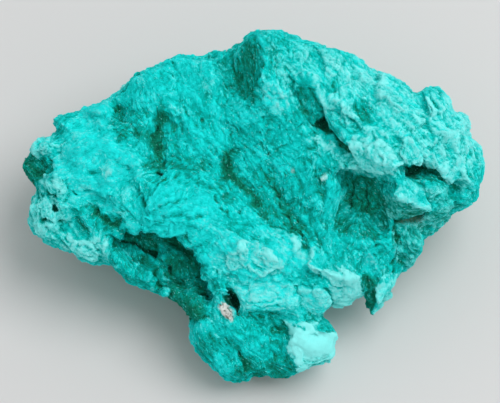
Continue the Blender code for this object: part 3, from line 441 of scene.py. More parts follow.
# Places where an edge is drawn out or held back: name, point on the grid, reach in mm and shift in mm.
PULLS = [
    ("tip of the nose", (374, 308), 1.5, (-0.1, -1.2)),
    ("shoulder of the nose", (393, 286), 2.2, (0.9, 0.3)),
    ("right side of the nose", (385, 304), 1.0, (-0.45, 0.4)),
    ("tip of the tongue", (425, 206), 1.2, (0.5, -0.3)),
    ("corner of the plate", (362, 294), 1.4, (0.5, 0.0)),
    ("corner of the facet", (334, 340), 1.6, (0.2, 0.5)),
    ("notch over the facet", (331, 318), 1.2, (-1.0, 0.6)),
    ("left shoulder of the crest", (241, 35), 1.0, (0.5, -0.9)),
    ("foot of the crest's wall", (226, 50), 2.2, (0.0, 0.5)),
    ("top of the upper left slope", (174, 58), 3.4, (-0.3, 0.85)),
    ("middle of the upper left slope", (130, 82), 2.6, (-0.35, 0.5)),
    ("foot of the upper left slope", (96, 105), 2.4, (-0.25, 0.4)),
    ("left tip", (22, 164), 1.5, (-0.7, 0.1)),
    ("knob over the left tip", (32, 147), 1.6, (-0.35, 0.2)),
    ("left side of the bulb", (29, 208), 1.9, (0.8, 0.0)),
    ("foot of the bulb", (45, 243), 1.2, (-0.5, -0.4)),
    ("left rim", (94, 266), 2.6, (0.15, 0.25)),
    ("lower left rim", (127, 283), 2.4, (0.3, 0.45)),
    ("rim left of the lobe", (178, 307), 1.6, (0.5, 0.7)),
    ("left foot of the lobe", (236, 381), 1.6, (0.0, -0.6)),
    ("right foot of the lobe", (284, 378), 2.6, (0.1, -0.75)),
    ("rim right of the nose", (407, 270), 1.2, (0.5, -0.2)),
    ("notch of the right foot", (427, 237), 1.0, (-1.1, 0.4)),
    ("right foot", (449, 218), 1.1, (0.4, -0.3)),
    ("far right", (484, 163), 1.8, (0.8, 0.1)),
    ("notch of the upper right knob", (424, 88), 1.2, (-0.15, -0.2)),
    ("upper right", (380, 72), 1.6, (0.1, 0.2)),
    ("right of the crest", (321, 45), 2.4, (0.25, 0.75)),
]
# Lips that are broken into teeth: name, path on the grid, reach in mm and depth of the teeth in mm.
TEETH = [
    ("left lip", [
        (113, 238), (127, 229), (150, 229), (172, 234), (188, 242), (198, 256), (207, 270), (211, 288),
    ], 3.4, 1.35),
    ("lip of the shelf", [
        (342, 172), (355, 174), (372, 178), (390, 183), (400, 178), (412, 166), (436, 167),
    ], 1.8, 0.3),
    ("edge of the pocket", [(228, 287), (236, 294), (241, 311)], 1.2, 0.25),
    ("right plate", [(360, 276), (366, 290), (356, 300), (344, 310)], 1.6, 0.4),
]
# Lumps: name, point on the grid, half length and half width in mm, turn in degrees, rise in mm and tone.
LUMPS = [
    ("first lump under the left lip", (146, 277), 1.2, 0.7, -15, 0.9, 0.72),
    ("second lump under the left lip", (138, 253), 0.8, 0.5, -30, 0.8, 0.66),
    ("third lump under the left lip", (134, 266), 1.3, 0.5, 10, 0.7, 0.64),
    ("fourth lump under the left lip", (118, 266), 0.6, 0.9, 60, 0.5, 0.62),
    ("fifth lump under the left lip", (165, 258), 0.5, 0.8, 80, 0.9, 0.60),
    ("sixth lump under the left lip", (164, 279), 0.6, 1.0, 70, 0.8, 0.62),
    ("brow of the bulb", (50, 186), 2.6, 1.1, -12, 0.6, 0.70),
    ("knob under the bulb", (46, 232), 2.2, 1.2, -30, 0.5, 0.68),
    ("knob over the left tip", (46, 148), 2.6, 1.5, 10, 0.5, 0.72),
    ("block right of the tongue", (438, 192), 2.3, 1.6, -15, 0.7, 0.54),
    ("bead over the nose", (404, 252), 1.6, 1.0, -60, 0.5, 0.56),
    ("second bead over the nose", (416, 240), 1.4, 1.0, -50, 0.5, 0.54),
    ("seventh lump under the left lip", (166, 291), 0.7, 0.6, 0, 0.7, 0.60),
    ("eighth lump under the left lip", (153, 286), 1.2, 0.6, -35, 0.5, 0.40),
    ("ninth lump under the left lip", (129, 278), 1.0, 0.6, -35, 0.5, 0.38),
    ("left edge of the pocket", (224, 293), 1.3, 0.8, -60, 1.1, 0.60),
    ("tenth lump under the left lip", (127, 252), 1.1, 0.7, -20, 0.5, 0.66),
]
# Places where another mineral shows: name, (u, v), half length, half width, turn and strength.
MATRIX_SPOTS = [
    ("matrix in the pocket", (-4.9, -21.9), 2.4, 0.75, -56, 1.0),
    ("white grain", (14.6, 4.9), 0.7, 0.5, 20, 0.40),
    ("pink grain", (8.6, 6.1), 0.45, 0.55, 0, 0.45),
    ("brown stain of the step", (33.0, -4.1), 3.0, 0.5, 12, 0.16),
]


def length(name, description, millimetres):
    """A length property with its default in millimetres."""
    return FloatProperty(
        name=name, description=description, default=millimetres * MM, min=0.0, precision=5, unit="LENGTH",
        subtype="DISTANCE",
    )


def angle(name, description, degrees):
    """An angle property with its default in degrees."""
    return FloatProperty(
        name=name, description=description, default=math.radians(degrees), unit="ROTATION", subtype="ANGLE",
    )


def share(name, description, default):
    """A property from 0 to 1."""
    return FloatProperty(name=name, description=description, default=default, min=0.0, max=1.0, subtype="FACTOR")


def colour(name, description, default):
    """A colour property, in linear values."""
    return FloatVectorProperty(name=name, description=description, default=default, size=4, subtype="COLOR")


def needle_sizes(kind, per_cm2, shortest, longest, width, lift, spread):
    """The properties of one kind of needle, with their defaults in millimetres and degrees."""
    return {
        "per_cm2": FloatProperty(
            name="Per Square Centimetre", description=f"Number of {kind}s on their full ground", default=per_cm2,
        ),
        "shortest": length("Shortest", f"Length of the shortest {kind}", shortest),
        "longest": length("Longest", f"Length of the longest {kind}", longest),
        "width": length("Width", f"Thickness of a {kind}", width),
        "lift": angle("Lift", f"Steepest angle of a {kind} over its ground", lift),
        "spread": angle("Spread", f"Largest turn of a {kind} away from the flow", spread),
    }


class RockSettings(PropertyGroup):
    """Sizes of the rock's skin."""

    skin_step: length("Skin Step", "Edge length of the mesh that is shaped", 0.26)
    triangles: IntProperty(name="Triangles", description="Triangles of the finished rock", default=196000)
    back_share: share("Back Share", "Share of the back's faces that is kept", 0.34)
    smoothing: IntProperty(name="Smoothing", description="Passes that round off the solid's facets", default=26)
    tuft_size: length("Tuft Size", "Width of one shingle of fibres", 2.2)
    tuft_rise: length("Tuft Rise", "Height of a shingle's free end", 0.12)
    raggedness: length("Raggedness", "Sideways shift that makes edges ragged", 0.55)
    streak_height: length("Streak Height", "Height of the silky streaks", 0.055)
    ledge_height: length("Ledge Height", "Height of one broken ledge", 0.24)
    break_share: share("Break Share", "How far the skin follows its broken faces", 0.75)
    crust_height: length("Crust Height", "Height of the crust's lumps", 0.48)
    seed: IntProperty(name="Seed", description="Seed of the tufts' random shapes", default=7)


class ColourSettings(PropertyGroup):
    """Colours of the mineral, from its hollows to its crust; the dark stops are painted shade."""

    # Deep, Hollow, Moss and Shade are the green as it looks in shade, and Bright as it looks in full light: painted
    # shade and light, used also for the mineral's own darker and paler greens.
    deep: colour("Deep", "Colour of the deepest hollows", (0.001, 0.062, 0.042, 1.0))
    hollow: colour("Hollow", "Colour of the walls of hollows", (0.004, 0.177, 0.096, 1.0))
    moss: colour("Moss", "Colour of dark silk beside the hollows", (0.004, 0.285, 0.184, 1.0))
    shade: colour("Shade", "Colour of shaded silk", (0.002, 0.385, 0.315, 1.0))
    body: colour("Body", "Colour of silky fibres", (0.002, 0.675, 0.63, 1.0))
    bright: colour("Bright", "Colour of lit fibre tips", (0.016, 0.92, 0.90, 1.0))
    chalk: colour("Chalk", "Colour of the weathered crust", (0.27, 0.95, 0.93, 1.0))
    matrix: colour("Matrix", "Colour of the rock the fibres grew on", (0.80, 0.84, 0.80, 1.0))
    matrix_shade: colour("Matrix Shade", "Colour of that rock's dark grains", (0.17, 0.20, 0.16, 1.0))


class SilkSettings(PropertyGroup):
    """Needles of the silky areas."""

    __annotations__ = needle_sizes(
        "needle", per_cm2=440.0, shortest=0.35, longest=1.1, width=0.09, lift=4.0, spread=18.0)


class StrandSettings(PropertyGroup):
    """Long strands that run through the silky areas."""

    __annotations__ = needle_sizes(
        "strand", per_cm2=150.0, shortest=0.9, longest=2.3, width=0.11, lift=3.0, spread=9.0)


class GlintSettings(PropertyGroup):
    """Single needles that lie on top of the silk, painted bright as glints."""

    __annotations__ = needle_sizes(
        "glint", per_cm2=1000.0, shortest=0.25, longest=0.8, width=0.15, lift=7.0, spread=46.0)


class GrainSettings(PropertyGroup):
    """Stubby grains of the chalky crust."""

    __annotations__ = needle_sizes(
        "grain", per_cm2=900.0, shortest=0.22, longest=0.6, width=0.13, lift=14.0, spread=55.0)


class FlakeSettings(PropertyGroup):
    """Broader flakes of the chalky crust."""

    __annotations__ = needle_sizes(
        "flake", per_cm2=420.0, shortest=0.35, longest=0.95, width=0.19, lift=10.0, spread=36.0)


class BackSettings(PropertyGroup):
    """Needles of the back and sides."""

    __annotations__ = needle_sizes(
        "needle", per_cm2=260.0, shortest=0.6, longest=1.8, width=0.12, lift=4.0, spread=22.0)


class StageSettings(PropertyGroup):
    """Floor, light and camera."""

    floor_colour: colour("Floor Colour", "Colour of the pale floor", (0.69, 0.69, 0.69, 1.0))
    key_power: FloatProperty(name="Key Power", description="Power of the large soft light", default=4.7, unit="POWER")
    fill_strength: share("Fill Strength", "Brightness of the surroundings", 0.57)
    lens: FloatProperty(name="Lens", description="Focal length in millimetres", default=250.0, unit="CAMERA")
    frame_width: length("Frame Width", "Width seen at the display face", 100.0)


class SpecimenSettings(PropertyGroup):
    """Everything a user would change."""

    rock: PointerProperty(type=RockSettings)
    colours: PointerProperty(type=ColourSettings)
    silk: PointerProperty(type=SilkSettings)
    strands: PointerProperty(type=StrandSettings)
    glints: PointerProperty(type=GlintSettings)
    grains: PointerProperty(type=GrainSettings)
    flakes: PointerProperty(type=FlakeSettings)
    back: PointerProperty(type=BackSettings)
    stage: PointerProperty(type=StageSettings)


# Numbers and noise.


def smoothstep(low, high, x):
    """0 below low, 1 above high, and a smooth rise between them."""
    t = np.clip((np.asarray(x, float) - low) / (high - low), 0.0, 1.0)
    return t * t * (3.0 - 2.0 * t)


def unit(vectors):
    """The vectors at length 1."""
    return vectors / np.maximum(np.linalg.norm(vectors, axis=1), 1e-9)[:, None]


def dot(a, b):
    """The dot product, row by row."""
    return np.einsum("ij,ij->i", a, b)


GRADIENT_COUNT = 4096
GRADIENTS = unit(np.random.default_rng(11).normal(size=(GRADIENT_COUNT, 3)))
# Large primes that turn a cell's numbers and the seed into the number of a gradient.
CELL_PRIMES = (73856093, 19349663, 83492791)
SEED_PRIME = 2654435761
# Brings the noise to about -1 to 1.
SWELL_STRENGTH = 1.6


def swells(points, size, seed):
    """Smooth noise from about -1 to 1, with a swell in each cell of the given size."""
    points = points / size
    cell = np.floor(points).astype(np.int64)
    t = points - cell
    fade = t * t * t * (t * (t * 6.0 - 15.0) + 10.0)
    total = np.zeros(len(points))
    for corner in product((0, 1), repeat=3):
        x, y, z = ((cell + corner) * CELL_PRIMES).T
        key = x ^ y ^ z ^ (seed * SEED_PRIME)
        weight = np.where(corner, fade, 1.0 - fade).prod(axis=1)
        total += weight * dot(GRADIENTS[(key ^ (key >> 13)) & (GRADIENT_COUNT - 1)], t - corner)
    return SWELL_STRENGTH * total


def swell_vectors(points, size, seed, axes=3):
    """A column of swells for each axis."""
    return np.column_stack([swells(points, size, seed + axis) for axis in range(axes)])


def jerks(points, axes, strength, sharpness, size, fine_strength, fine_size, seed):
    """Vectors that change in short jerks, with finer swells over them."""
    coarse = strength * np.tanh(sharpness * swell_vectors(points, size, seed, axes))
    return coarse + fine_strength * swell_vectors(points, fine_size, seed + 3, axes)


def streaks(points, flow, width, run, seed):
    """Noise drawn out along the flow, with a spread of 1."""
    count = max(3, round(run / width) + 1)
    total = sum(swells(points + flow * (t * run), width, seed) for t in np.linspace(-0.5, 0.5, count))
    return total / total.std()


def layered(points, flow, layers):
    """The sum of layers of noise: streaks along the flow, or swells where a layer has no run.

    A layer has a strength, a size across the flow and a run along it, both in millimetres, and a seed.
    """
    return sum(
        strength * (streaks(points, flow, width, run, seed) if run else swells(points, width, seed))
        for strength, width, run, seed in layers
    )


# Meshes as arrays of millimetres.


def read_points(mesh):
    """The mesh's vertices in millimetres."""
    flat = np.empty(len(mesh.vertices) * 3)
    mesh.vertices.foreach_get("co", flat)
    return flat.reshape(-1, 3) / MM


def write_points(mesh, points):
    """Puts the vertices back."""
    mesh.vertices.foreach_set("co", (points * MM).ravel())
    mesh.update()


def read_edges(mesh):
    """The vertex numbers of each edge."""
    flat = np.empty(len(mesh.edges) * 2, np.int32)
    mesh.edges.foreach_get("vertices", flat)
    return flat.reshape(-1, 2)


def read_normals(mesh):
    """The normal at each vertex."""
    flat = np.empty(len(mesh.vertices) * 3)
    mesh.vertex_normals.foreach_get("vector", flat)
    return flat.reshape(-1, 3)


def smoothed(values, edges, passes, factor=0.6):
    """The values, each moved towards the mean of its neighbours' in every pass."""
    a, b = edges.T
    count = len(values)
    around = np.maximum(np.bincount(a, minlength=count) + np.bincount(b, minlength=count), 1)
    columns = values.reshape(count, -1).T.copy()
    for _ in range(passes):
        for column in columns:
            near = np.bincount(a, column[b], count) + np.bincount(b, column[a], count)
            column += factor * (near / around - column)
    return columns.T.reshape(values.shape)


def to_face(points):
    """The part's own frame to face coordinates, both in millimetres."""
    return (points - FACE_CENTRE) @ FACE_AXES.T


def set_attribute(mesh, name, values):
    """Stores numbers or vectors on the mesh's vertices."""
    kind, key = ("FLOAT", "value") if values.ndim == 1 else ("FLOAT_VECTOR", "vector")
    stored = mesh.attributes.get(name) or mesh.attributes.new(name, kind, "POINT")
    stored.data.foreach_set(key, values.astype(np.float32).ravel())


def get_attribute(mesh, name):
    """Reads numbers from the mesh's vertices."""
    values = np.empty(len(mesh.vertices), np.float32)
    mesh.attributes[name].data.foreach_get("value", values)
    return values


def within_box(points):
    """The points, held inside the solid's box."""
    low, high = (np.array(corner) / MM for corner in CAD_BOX)
    return np.clip(points, low, high)


# How far inside the solid's box the relief begins to be drawn in, in mm, and how that is spread over the skin.
BOX_MARGIN = 0.25
DRAW_ROUNDS = 3
DRAW_PASSES = 30
DRAW_STRENGTH = 1.4


def draw_into_box(points, edges):
    """The points, with what stands out of the solid's box drawn in as a whole, so that no plane cuts it flat."""
    low, high = (np.array(corner) / MM for corner in CAD_BOX)
    low, high = low + BOX_MARGIN, high - BOX_MARGIN
    low[2] = -np.inf
    for _ in range(DRAW_ROUNDS):
        points = points - DRAW_STRENGTH * smoothed(points - np.clip(points, low, high), edges, DRAW_PASSES)
    out = points - np.clip(points, low, high)
    return points - out + np.sign(out) * BOX_MARGIN * (1.0 - np.exp(-np.abs(out) / BOX_MARGIN))


def new_object(name, mesh):
    """A shown object at the origin."""
    made = bpy.data.objects.new(name, mesh)
    bpy.context.scene.collection.objects.link(made)
    return made


def apply_modifiers(obj):
    """Makes what the object's modifiers give its own mesh."""
    bpy.context.view_layer.update()
    made = bpy.data.meshes.new_from_object(obj.evaluated_get(bpy.context.evaluated_depsgraph_get()))
    old, made.name = obj.data, obj.name
    obj.modifiers.clear()
    obj.data = made
    bpy.data.meshes.remove(old)


def fit_to_body(obj):
    """Ties a finished piece to the part's body."""
    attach(obj, BODY)


# Places on the display face.


def from_grid(points):
    """Grid points as face coordinates."""
    return (np.array(points, float) - GRID_CENTRE) * (GRID_STEP, -GRID_STEP)


def in_ellipse(face, centre, half_length, half_width, turn, edge):
    """1 inside an ellipse and 0 outside it, fading between two distances that are counted in its own radii."""
    c, s = math.cos(math.radians(turn)), math.sin(math.radians(turn))
    away = face[:, :2] - np.array(centre)
    return 1.0 - smoothstep(*edge, np.hypot((away @ (c, s)) / half_length, (away @ (-s, c)) / half_width))


def path_distance(face, path):
    """Distance of each point from a path across the display face."""
    start, way = path[:-1], np.diff(path, axis=0)
    away = face[:, None, :2] - start
    share_along = np.clip((away * way).sum(axis=2) / (way**2).sum(axis=1), 0.0, 1.0)
    return np.linalg.norm(away - share_along[:, :, None] * way, axis=2).min(axis=1)


def near_path(face, path, reach, edge):
    """1 along a path on the grid and 0 away from it, fading between two shares of its reach."""
    return 1.0 - smoothstep(edge[0] * reach, edge[1] * reach, path_distance(face, from_grid(path)))


def in_patch(face, outline, softness):
    """1 inside a closed outline on the grid, 0 outside and a soft edge between."""
    corners = from_grid(outline)
    share_in = np.zeros(len(face))
    margin = 2.0 * softness + 0.5
    low, high = corners.min(axis=0) - margin, corners.max(axis=0) + margin
    near = np.flatnonzero(((face[:, :2] > low) & (face[:, :2] < high)).all(axis=1))
    spots = face[near]
    ring = np.vstack([corners, corners[:1]])
    inside = np.zeros(len(near), bool)
    for (u0, v0), (u1, v1) in zip(ring[:-1], ring[1:]):
        crosses = (v0 > spots[:, 1]) != (v1 > spots[:, 1])
        at = u0 + (spots[:, 1] - v0) * (u1 - u0) / (v1 - v0 if v1 != v0 else 1.0)
        inside ^= crosses & (spots[:, 0] < at)
    depth = np.where(inside, 1.0, -1.0) * path_distance(spots, ring)
    share_in[near] = smoothstep(-softness, softness, depth)
    return share_in


# The rock's skin and how its fibres run.

MERGE_DISTANCE = 1e-7
FIRM_PASSES = 5
BEND_PASSES = 6
# How far the smoothing would move a lip, in mm, where it begins to be kept and where it is kept whole.
LIP_BEND = (0.12, 0.35)
# Below this w, in mm, the skin counts as behind.
BEHIND = -1.0


def fine_skin(settings):
    """A fine mesh of the solid with its facets rounded off, its lips kept and fewer faces behind."""
    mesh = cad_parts[NODE].data.copy()
    body = bmesh.new()
    body.from_mesh(mesh)
    bmesh.ops.remove_doubles(body, verts=body.verts, dist=MERGE_DISTANCE)
    body.to_mesh(mesh)
    body.free()
    mesh.materials.clear()
    rock = new_object(ROCK, mesh)
    skin = rock.modifiers.new("fine_skin", "REMESH")
    skin.mode = "VOXEL"
    skin.voxel_size = settings.skin_step
    apply_modifiers(rock)

    mesh = rock.data
    points, edges = read_points(mesh), read_edges(mesh)
    firm = smoothed(points, edges, FIRM_PASSES)
    soft = smoothed(firm, edges, settings.smoothing)
    bend = smoothed(np.linalg.norm(soft - firm, axis=1), edges, BEND_PASSES)
    write_points(mesh, soft + smoothstep(*LIP_BEND, bend)[:, None] * (firm - soft))

    behind = to_face(points)[:, 2] < BEHIND
    group = rock.vertex_groups.new(name="behind")
    group.add([int(i) for i in np.flatnonzero(behind)], 1.0, "REPLACE")
    corners = np.empty(len(mesh.polygons) * 4, np.int32)
    mesh.polygons.foreach_get("vertices", corners)
    at_back = behind[corners.reshape(-1, 4)].all(axis=1).mean()
    thin = rock.modifiers.new("thin_behind", "DECIMATE")
    thin.ratio = 1.0 - at_back * (1.0 - settings.back_share)
    thin.use_collapse_triangulate = True
    thin.vertex_group = group.name
    apply_modifiers(rock)
    rock.vertex_groups.clear()
    return rock


# A fan's full turn reaches over this share of its reach.
FAN_CORE = 0.4
# Behind, the fibres drift in swells of this size in mm and fall. Everywhere they sway a little.
DRIFT_SIZE = 14.0
DRIFT_FALL = np.array([0.0, 0.0, -0.5])
SWAY = 0.22
SWAY_SIZE = 3.0


def broad_flow(points, normals, front):
    """The way the fibres run, along the skin."""
    face = to_face(points)
    flat = np.zeros((len(points), 2))
    for mark, degrees in FLOW_MARKS:
        turn = math.radians(degrees)
        near = np.exp(-((face[:, :2] - mark) ** 2).sum(axis=1) / (2.0 * FLOW_REACH**2)) + 1e-9
        flat += near[:, None] * (math.cos(turn), math.sin(turn))
    flat = unit(flat)
    for root, reach, strength in FANS:
        away = face[:, :2] - np.array(root)
        far = np.linalg.norm(away, axis=1)
        flat += (strength * (1.0 - smoothstep(FAN_CORE * reach, reach, far)))[:, None] * unit(away)
    on_face = unit(flat) @ FACE_AXES[:2]
    drift = swell_vectors(points, DRIFT_SIZE, seed=31)
    run = front[:, None] * on_face + (1.0 - front)[:, None] * (drift + DRIFT_FALL)
    run += SWAY * swell_vectors(points, SWAY_SIZE, seed=41)
    return unit(run - dot(run, normals)[:, None] * normals)


# The area that tufts and broken faces are shared out over, in square millimetres.
SKIN_AREA = 12500.0


def share_out(points, size, warp, rng):
    """Draws a site for each cell of the given size, and gives the sites and the number of each point's own one."""
    count = round(SKIN_AREA / size**2)
    sites = rng.choice(len(points), count, replace=False)
    tree = kdtree.KDTree(count)
    for number, site in enumerate(sites):
        tree.insert(points[site], number)
    tree.balance()
    return sites, np.array([tree.find(Vector(point))[1] for point in points + warp])


# How far a tuft's edges stray, as a share of its size, and the size of that in mm.
TUFT_RAGGED = 0.45
TUFT_RAGGED_SIZE = 1.6
# Spread of the tufts' turns in degrees, and of the steps between their shingles.
TUFT_SWING = 16.0
TUFT_STEP = 0.35
# How far behind a tuft its fan's root lies, in its own sizes, and how near a point may come to the root.
TUFT_ROOT = (0.9, 2.4)
TUFT_NEAREST = 0.2
# A shingle rises along its tuft by this many sizes at most, each way.
TUFT_SLOPE = 1.2
# Width of the grain's pattern, in tuft sizes for each radian, and how far apart the tufts' patterns lie.
GRAIN_WIDTH = 1.6
GRAIN_APART = 7.0


def tufts(points, normals, flow, settings):
    """Shares the skin out among tufts: the flow fanning out in each, the height on its shingle, luck and grain.

    The grain is the place across and along a tuft's own fan, in millimetres.
    """
    rng = np.random.default_rng(settings.seed)
    size = settings.tuft_size / MM
    warp = TUFT_RAGGED * size * swell_vectors(points, TUFT_RAGGED_SIZE, seed=51)
    sites, own = share_out(points, size, warp, rng)
    count, site = len(sites), sites[own]
    turned = np.cross(normals[site], flow[site])
    swing = np.tan(rng.normal(0.0, math.radians(TUFT_SWING), count))[own]
    lead = unit(flow[site] + swing[:, None] * turned)
    root = points[site] - lead * (rng.uniform(*TUFT_ROOT, count)[own] * size)[:, None]
    away = points - root
    fanned = unit(away - dot(away, normals)[:, None] * normals)
    along = dot(points - points[site], lead) / size
    step = rng.normal(0.0, TUFT_STEP, count)[own]
    luck = rng.uniform(-1.0, 1.0, count)[own]
    side = dot(away, np.cross(normals[site], lead))
    ahead = np.maximum(dot(away, lead), TUFT_NEAREST * size)
    turn, far = np.arctan2(side, ahead), np.hypot(side, ahead)
    grain = np.column_stack([turn * GRAIN_WIDTH * size, far, GRAIN_APART * own])
    return fanned, np.clip(along, -TUFT_SLOPE, TUFT_SLOPE) + step, luck, grain


# The rise of the ledges, and where on each step its lip stands, in steps. A step slopes back by this share.
LEDGE_LAYERS = [(2.6, 8.0, 0.0, 111), (0.30, 1.4, 4.0, 112), (0.14, 0.6, 1.8, 113)]
LEDGE_LIP = (0.72, 0.98)
LEDGE_SLOPE = 0.55


def ledges(points, flow):
    """Broken steps of about 1, their edges splintered along the flow."""
    rise = layered(points, flow, LEDGE_LAYERS)
    step = np.floor(rise)
    return step + smoothstep(*LEDGE_LIP, rise - step) - LEDGE_SLOPE * (rise - step)


# How deep the broken faces cut and how far their edges stray, as a share of their size.
BREAK_DEPTH = 0.16
# Swells along a broken face's edge, for each of its sizes.
BREAK_WAVES = 2.6
# Spread of the tilts, and the least that a normal may lie along its broken face's.
BREAK_SPREAD = 0.7
BREAK_STEEPEST = 0.5


def breaks(points, normals, size, tilt, seed):
    """How far each point lies from the tilted fracture face of its own cell, in millimetres."""
    rng = np.random.default_rng(seed)
    warp = BREAK_DEPTH * size * swell_vectors(points * (BREAK_WAVES / size), 1.0, seed)
    sites, own = share_out(points, size, warp, rng)
    lean = math.tan(math.radians(tilt)) * rng.normal(0.0, BREAK_SPREAD, (len(sites), 3))
    faces = unit(normals[sites] + lean)[own]
    offset = dot(points[sites][own] - points, faces) / np.maximum(dot(normals, faces), BREAK_STEEPEST)
    return np.clip(offset, -BREAK_DEPTH * size, BREAK_DEPTH * size)


# Flat patches: their softest edge and lowest w, and how far they calm the relief.
FLAT_SOFTNESS = 0.35
FLAT_LOWEST = -2.0
FLAT_CALM = 0.9
# A plane is fitted to a patch's core of at least so many points, without outliers in mm, in so many rounds.
FLAT_CORE = 0.9
FLAT_LEAST = 12
FLAT_OUTLIER = 1.5
FLAT_ROUNDS = 3
# The furthest that a point is moved towards its plane, in mm.
FLAT_SHIFT = 1.6


def flatten_patches(points, face):
    """Pulls the flat fracture faces towards planes, along the way that the display face looks, and calms them."""
    moved = points.copy()
    calm = np.ones(len(points))
    for name, outline, softness, *_ in PATCHES:
        flatness = FLAT_PATCHES.get(name, 0.0)
        if not flatness:
            continue
        weight = in_patch(face, outline, min(softness, FLAT_SOFTNESS)) * (face[:, 2] > FLAT_LOWEST)
        calm = np.minimum(calm, 1.0 - FLAT_CALM * flatness * weight)
        inside = weight > FLAT_CORE
        if inside.sum() < FLAT_LEAST:
            continue
        spots = face[inside]
        table = np.column_stack([spots[:, :2], np.ones(len(spots))])
        for _ in range(FLAT_ROUNDS):
            plane = np.linalg.lstsq(table, spots[:, 2], rcond=None)[0]
            near = np.abs(table @ plane - spots[:, 2]) < FLAT_OUTLIER
            table, spots = table[near], spots[near]
        level = np.column_stack([face[:, :2], np.ones(len(face))]) @ plane
        shift = np.clip(level - face[:, 2], -FLAT_SHIFT, FLAT_SHIFT)
        moved += (weight * flatness * shift)[:, None] * FACE_AXES[2]
    return moved, calm


# The teeth reach down a lip's wall by drawing their pattern out along w.
TEETH_RUN = (1.0, 1.0, 0.25)
TEETH_EDGE = (0.35, 1.0)
# Between these w, in mm, the pulls of the edges fade out.
PULL_LEVELS = (-14.0, -9.0)


def cut_teeth(face, front):
    """A shift across the display face that breaks the lips into teeth and draws edges out or holds them back."""
    wave = jerks(
        face * TEETH_RUN, axes=2, strength=0.8, sharpness=1.7, size=2.7, fine_strength=0.75, fine_size=1.3, seed=171)
    shift = np.zeros((len(face), 2))
    for _, path, reach, depth in TEETH:
        shift += (near_path(face, path, reach, TEETH_EDGE) * front * depth)[:, None] * wave
    upper = smoothstep(*PULL_LEVELS, face[:, 2])
    for _, centre, reach, pull in PULLS:
        away = face[:, :2] - from_grid(centre)
        near = np.exp(-(away**2).sum(axis=1) / (2.0 * reach**2)) * upper
        shift += near[:, None] * np.array(pull)
    return shift @ FACE_AXES[:2]


def ragged_shift(points, normals):
    """A sideways shift of about 1 in short jerks, along the skin."""
    jerk = jerks(
        points, axes=3, strength=1.0, sharpness=1.9, size=2.3, fine_strength=0.5, fine_size=0.9, seed=151)
    return jerk - dot(jerk, normals)[:, None] * normals


# Tone and chalk where no zone reaches, and how far the zones' and patches' edges and the seams stray, in mm.
PLAIN_TONE = 0.60
PLAIN_CHALK = 0.20
ZONE_STRAY = 0.9
PATCH_STRAY = 0.26
SEAM_STRAY = 0.22
# Where each kind of mark fades: in its own radii for round ones, and in its half widths for paths.
ZONE_EDGE = (0.65, 1.25)
SEAM_EDGE = (0.3, 1.6)
RIDGE_EDGE = (0.2, 2.0)
LUMP_EDGE = (0.3, 1.2)
FORM_END = 1.3
MATRIX_EDGE = (0.8, 1.1)
# What seams, ridges, lumps and small pits do to tone and chalk. Seams and sunken forms are darkened and lose chalk as
# painted shade.
SEAM_SHADE = -0.24
SEAM_LIGHT = (0.1, 0.4)
RIDGE_TONE = 0.10
RIDGE_UNEVEN = 0.9
LUMP_CHALK = 0.26
HOLE_SHADE = -0.32
SHADE_CHALK_LOSS = 0.8
# Between these w, in mm, the sides' and the back's own tone and chalk give way to the display face's.
SIDE_LEVELS = (-9.0, -4.5)
# There the tone is a mean and a swing, and the chalk sets in over swells of this height.
SIDE_LAYERS = [(1.0, 9.0, 0.0, 71), (0.5, 4.0, 0.0, 72)]
SIDE_TONE = (0.50, 0.16)
SIDE_CHALK = (0.1, 0.9)
SIDE_CHALK_MOST = 0.55


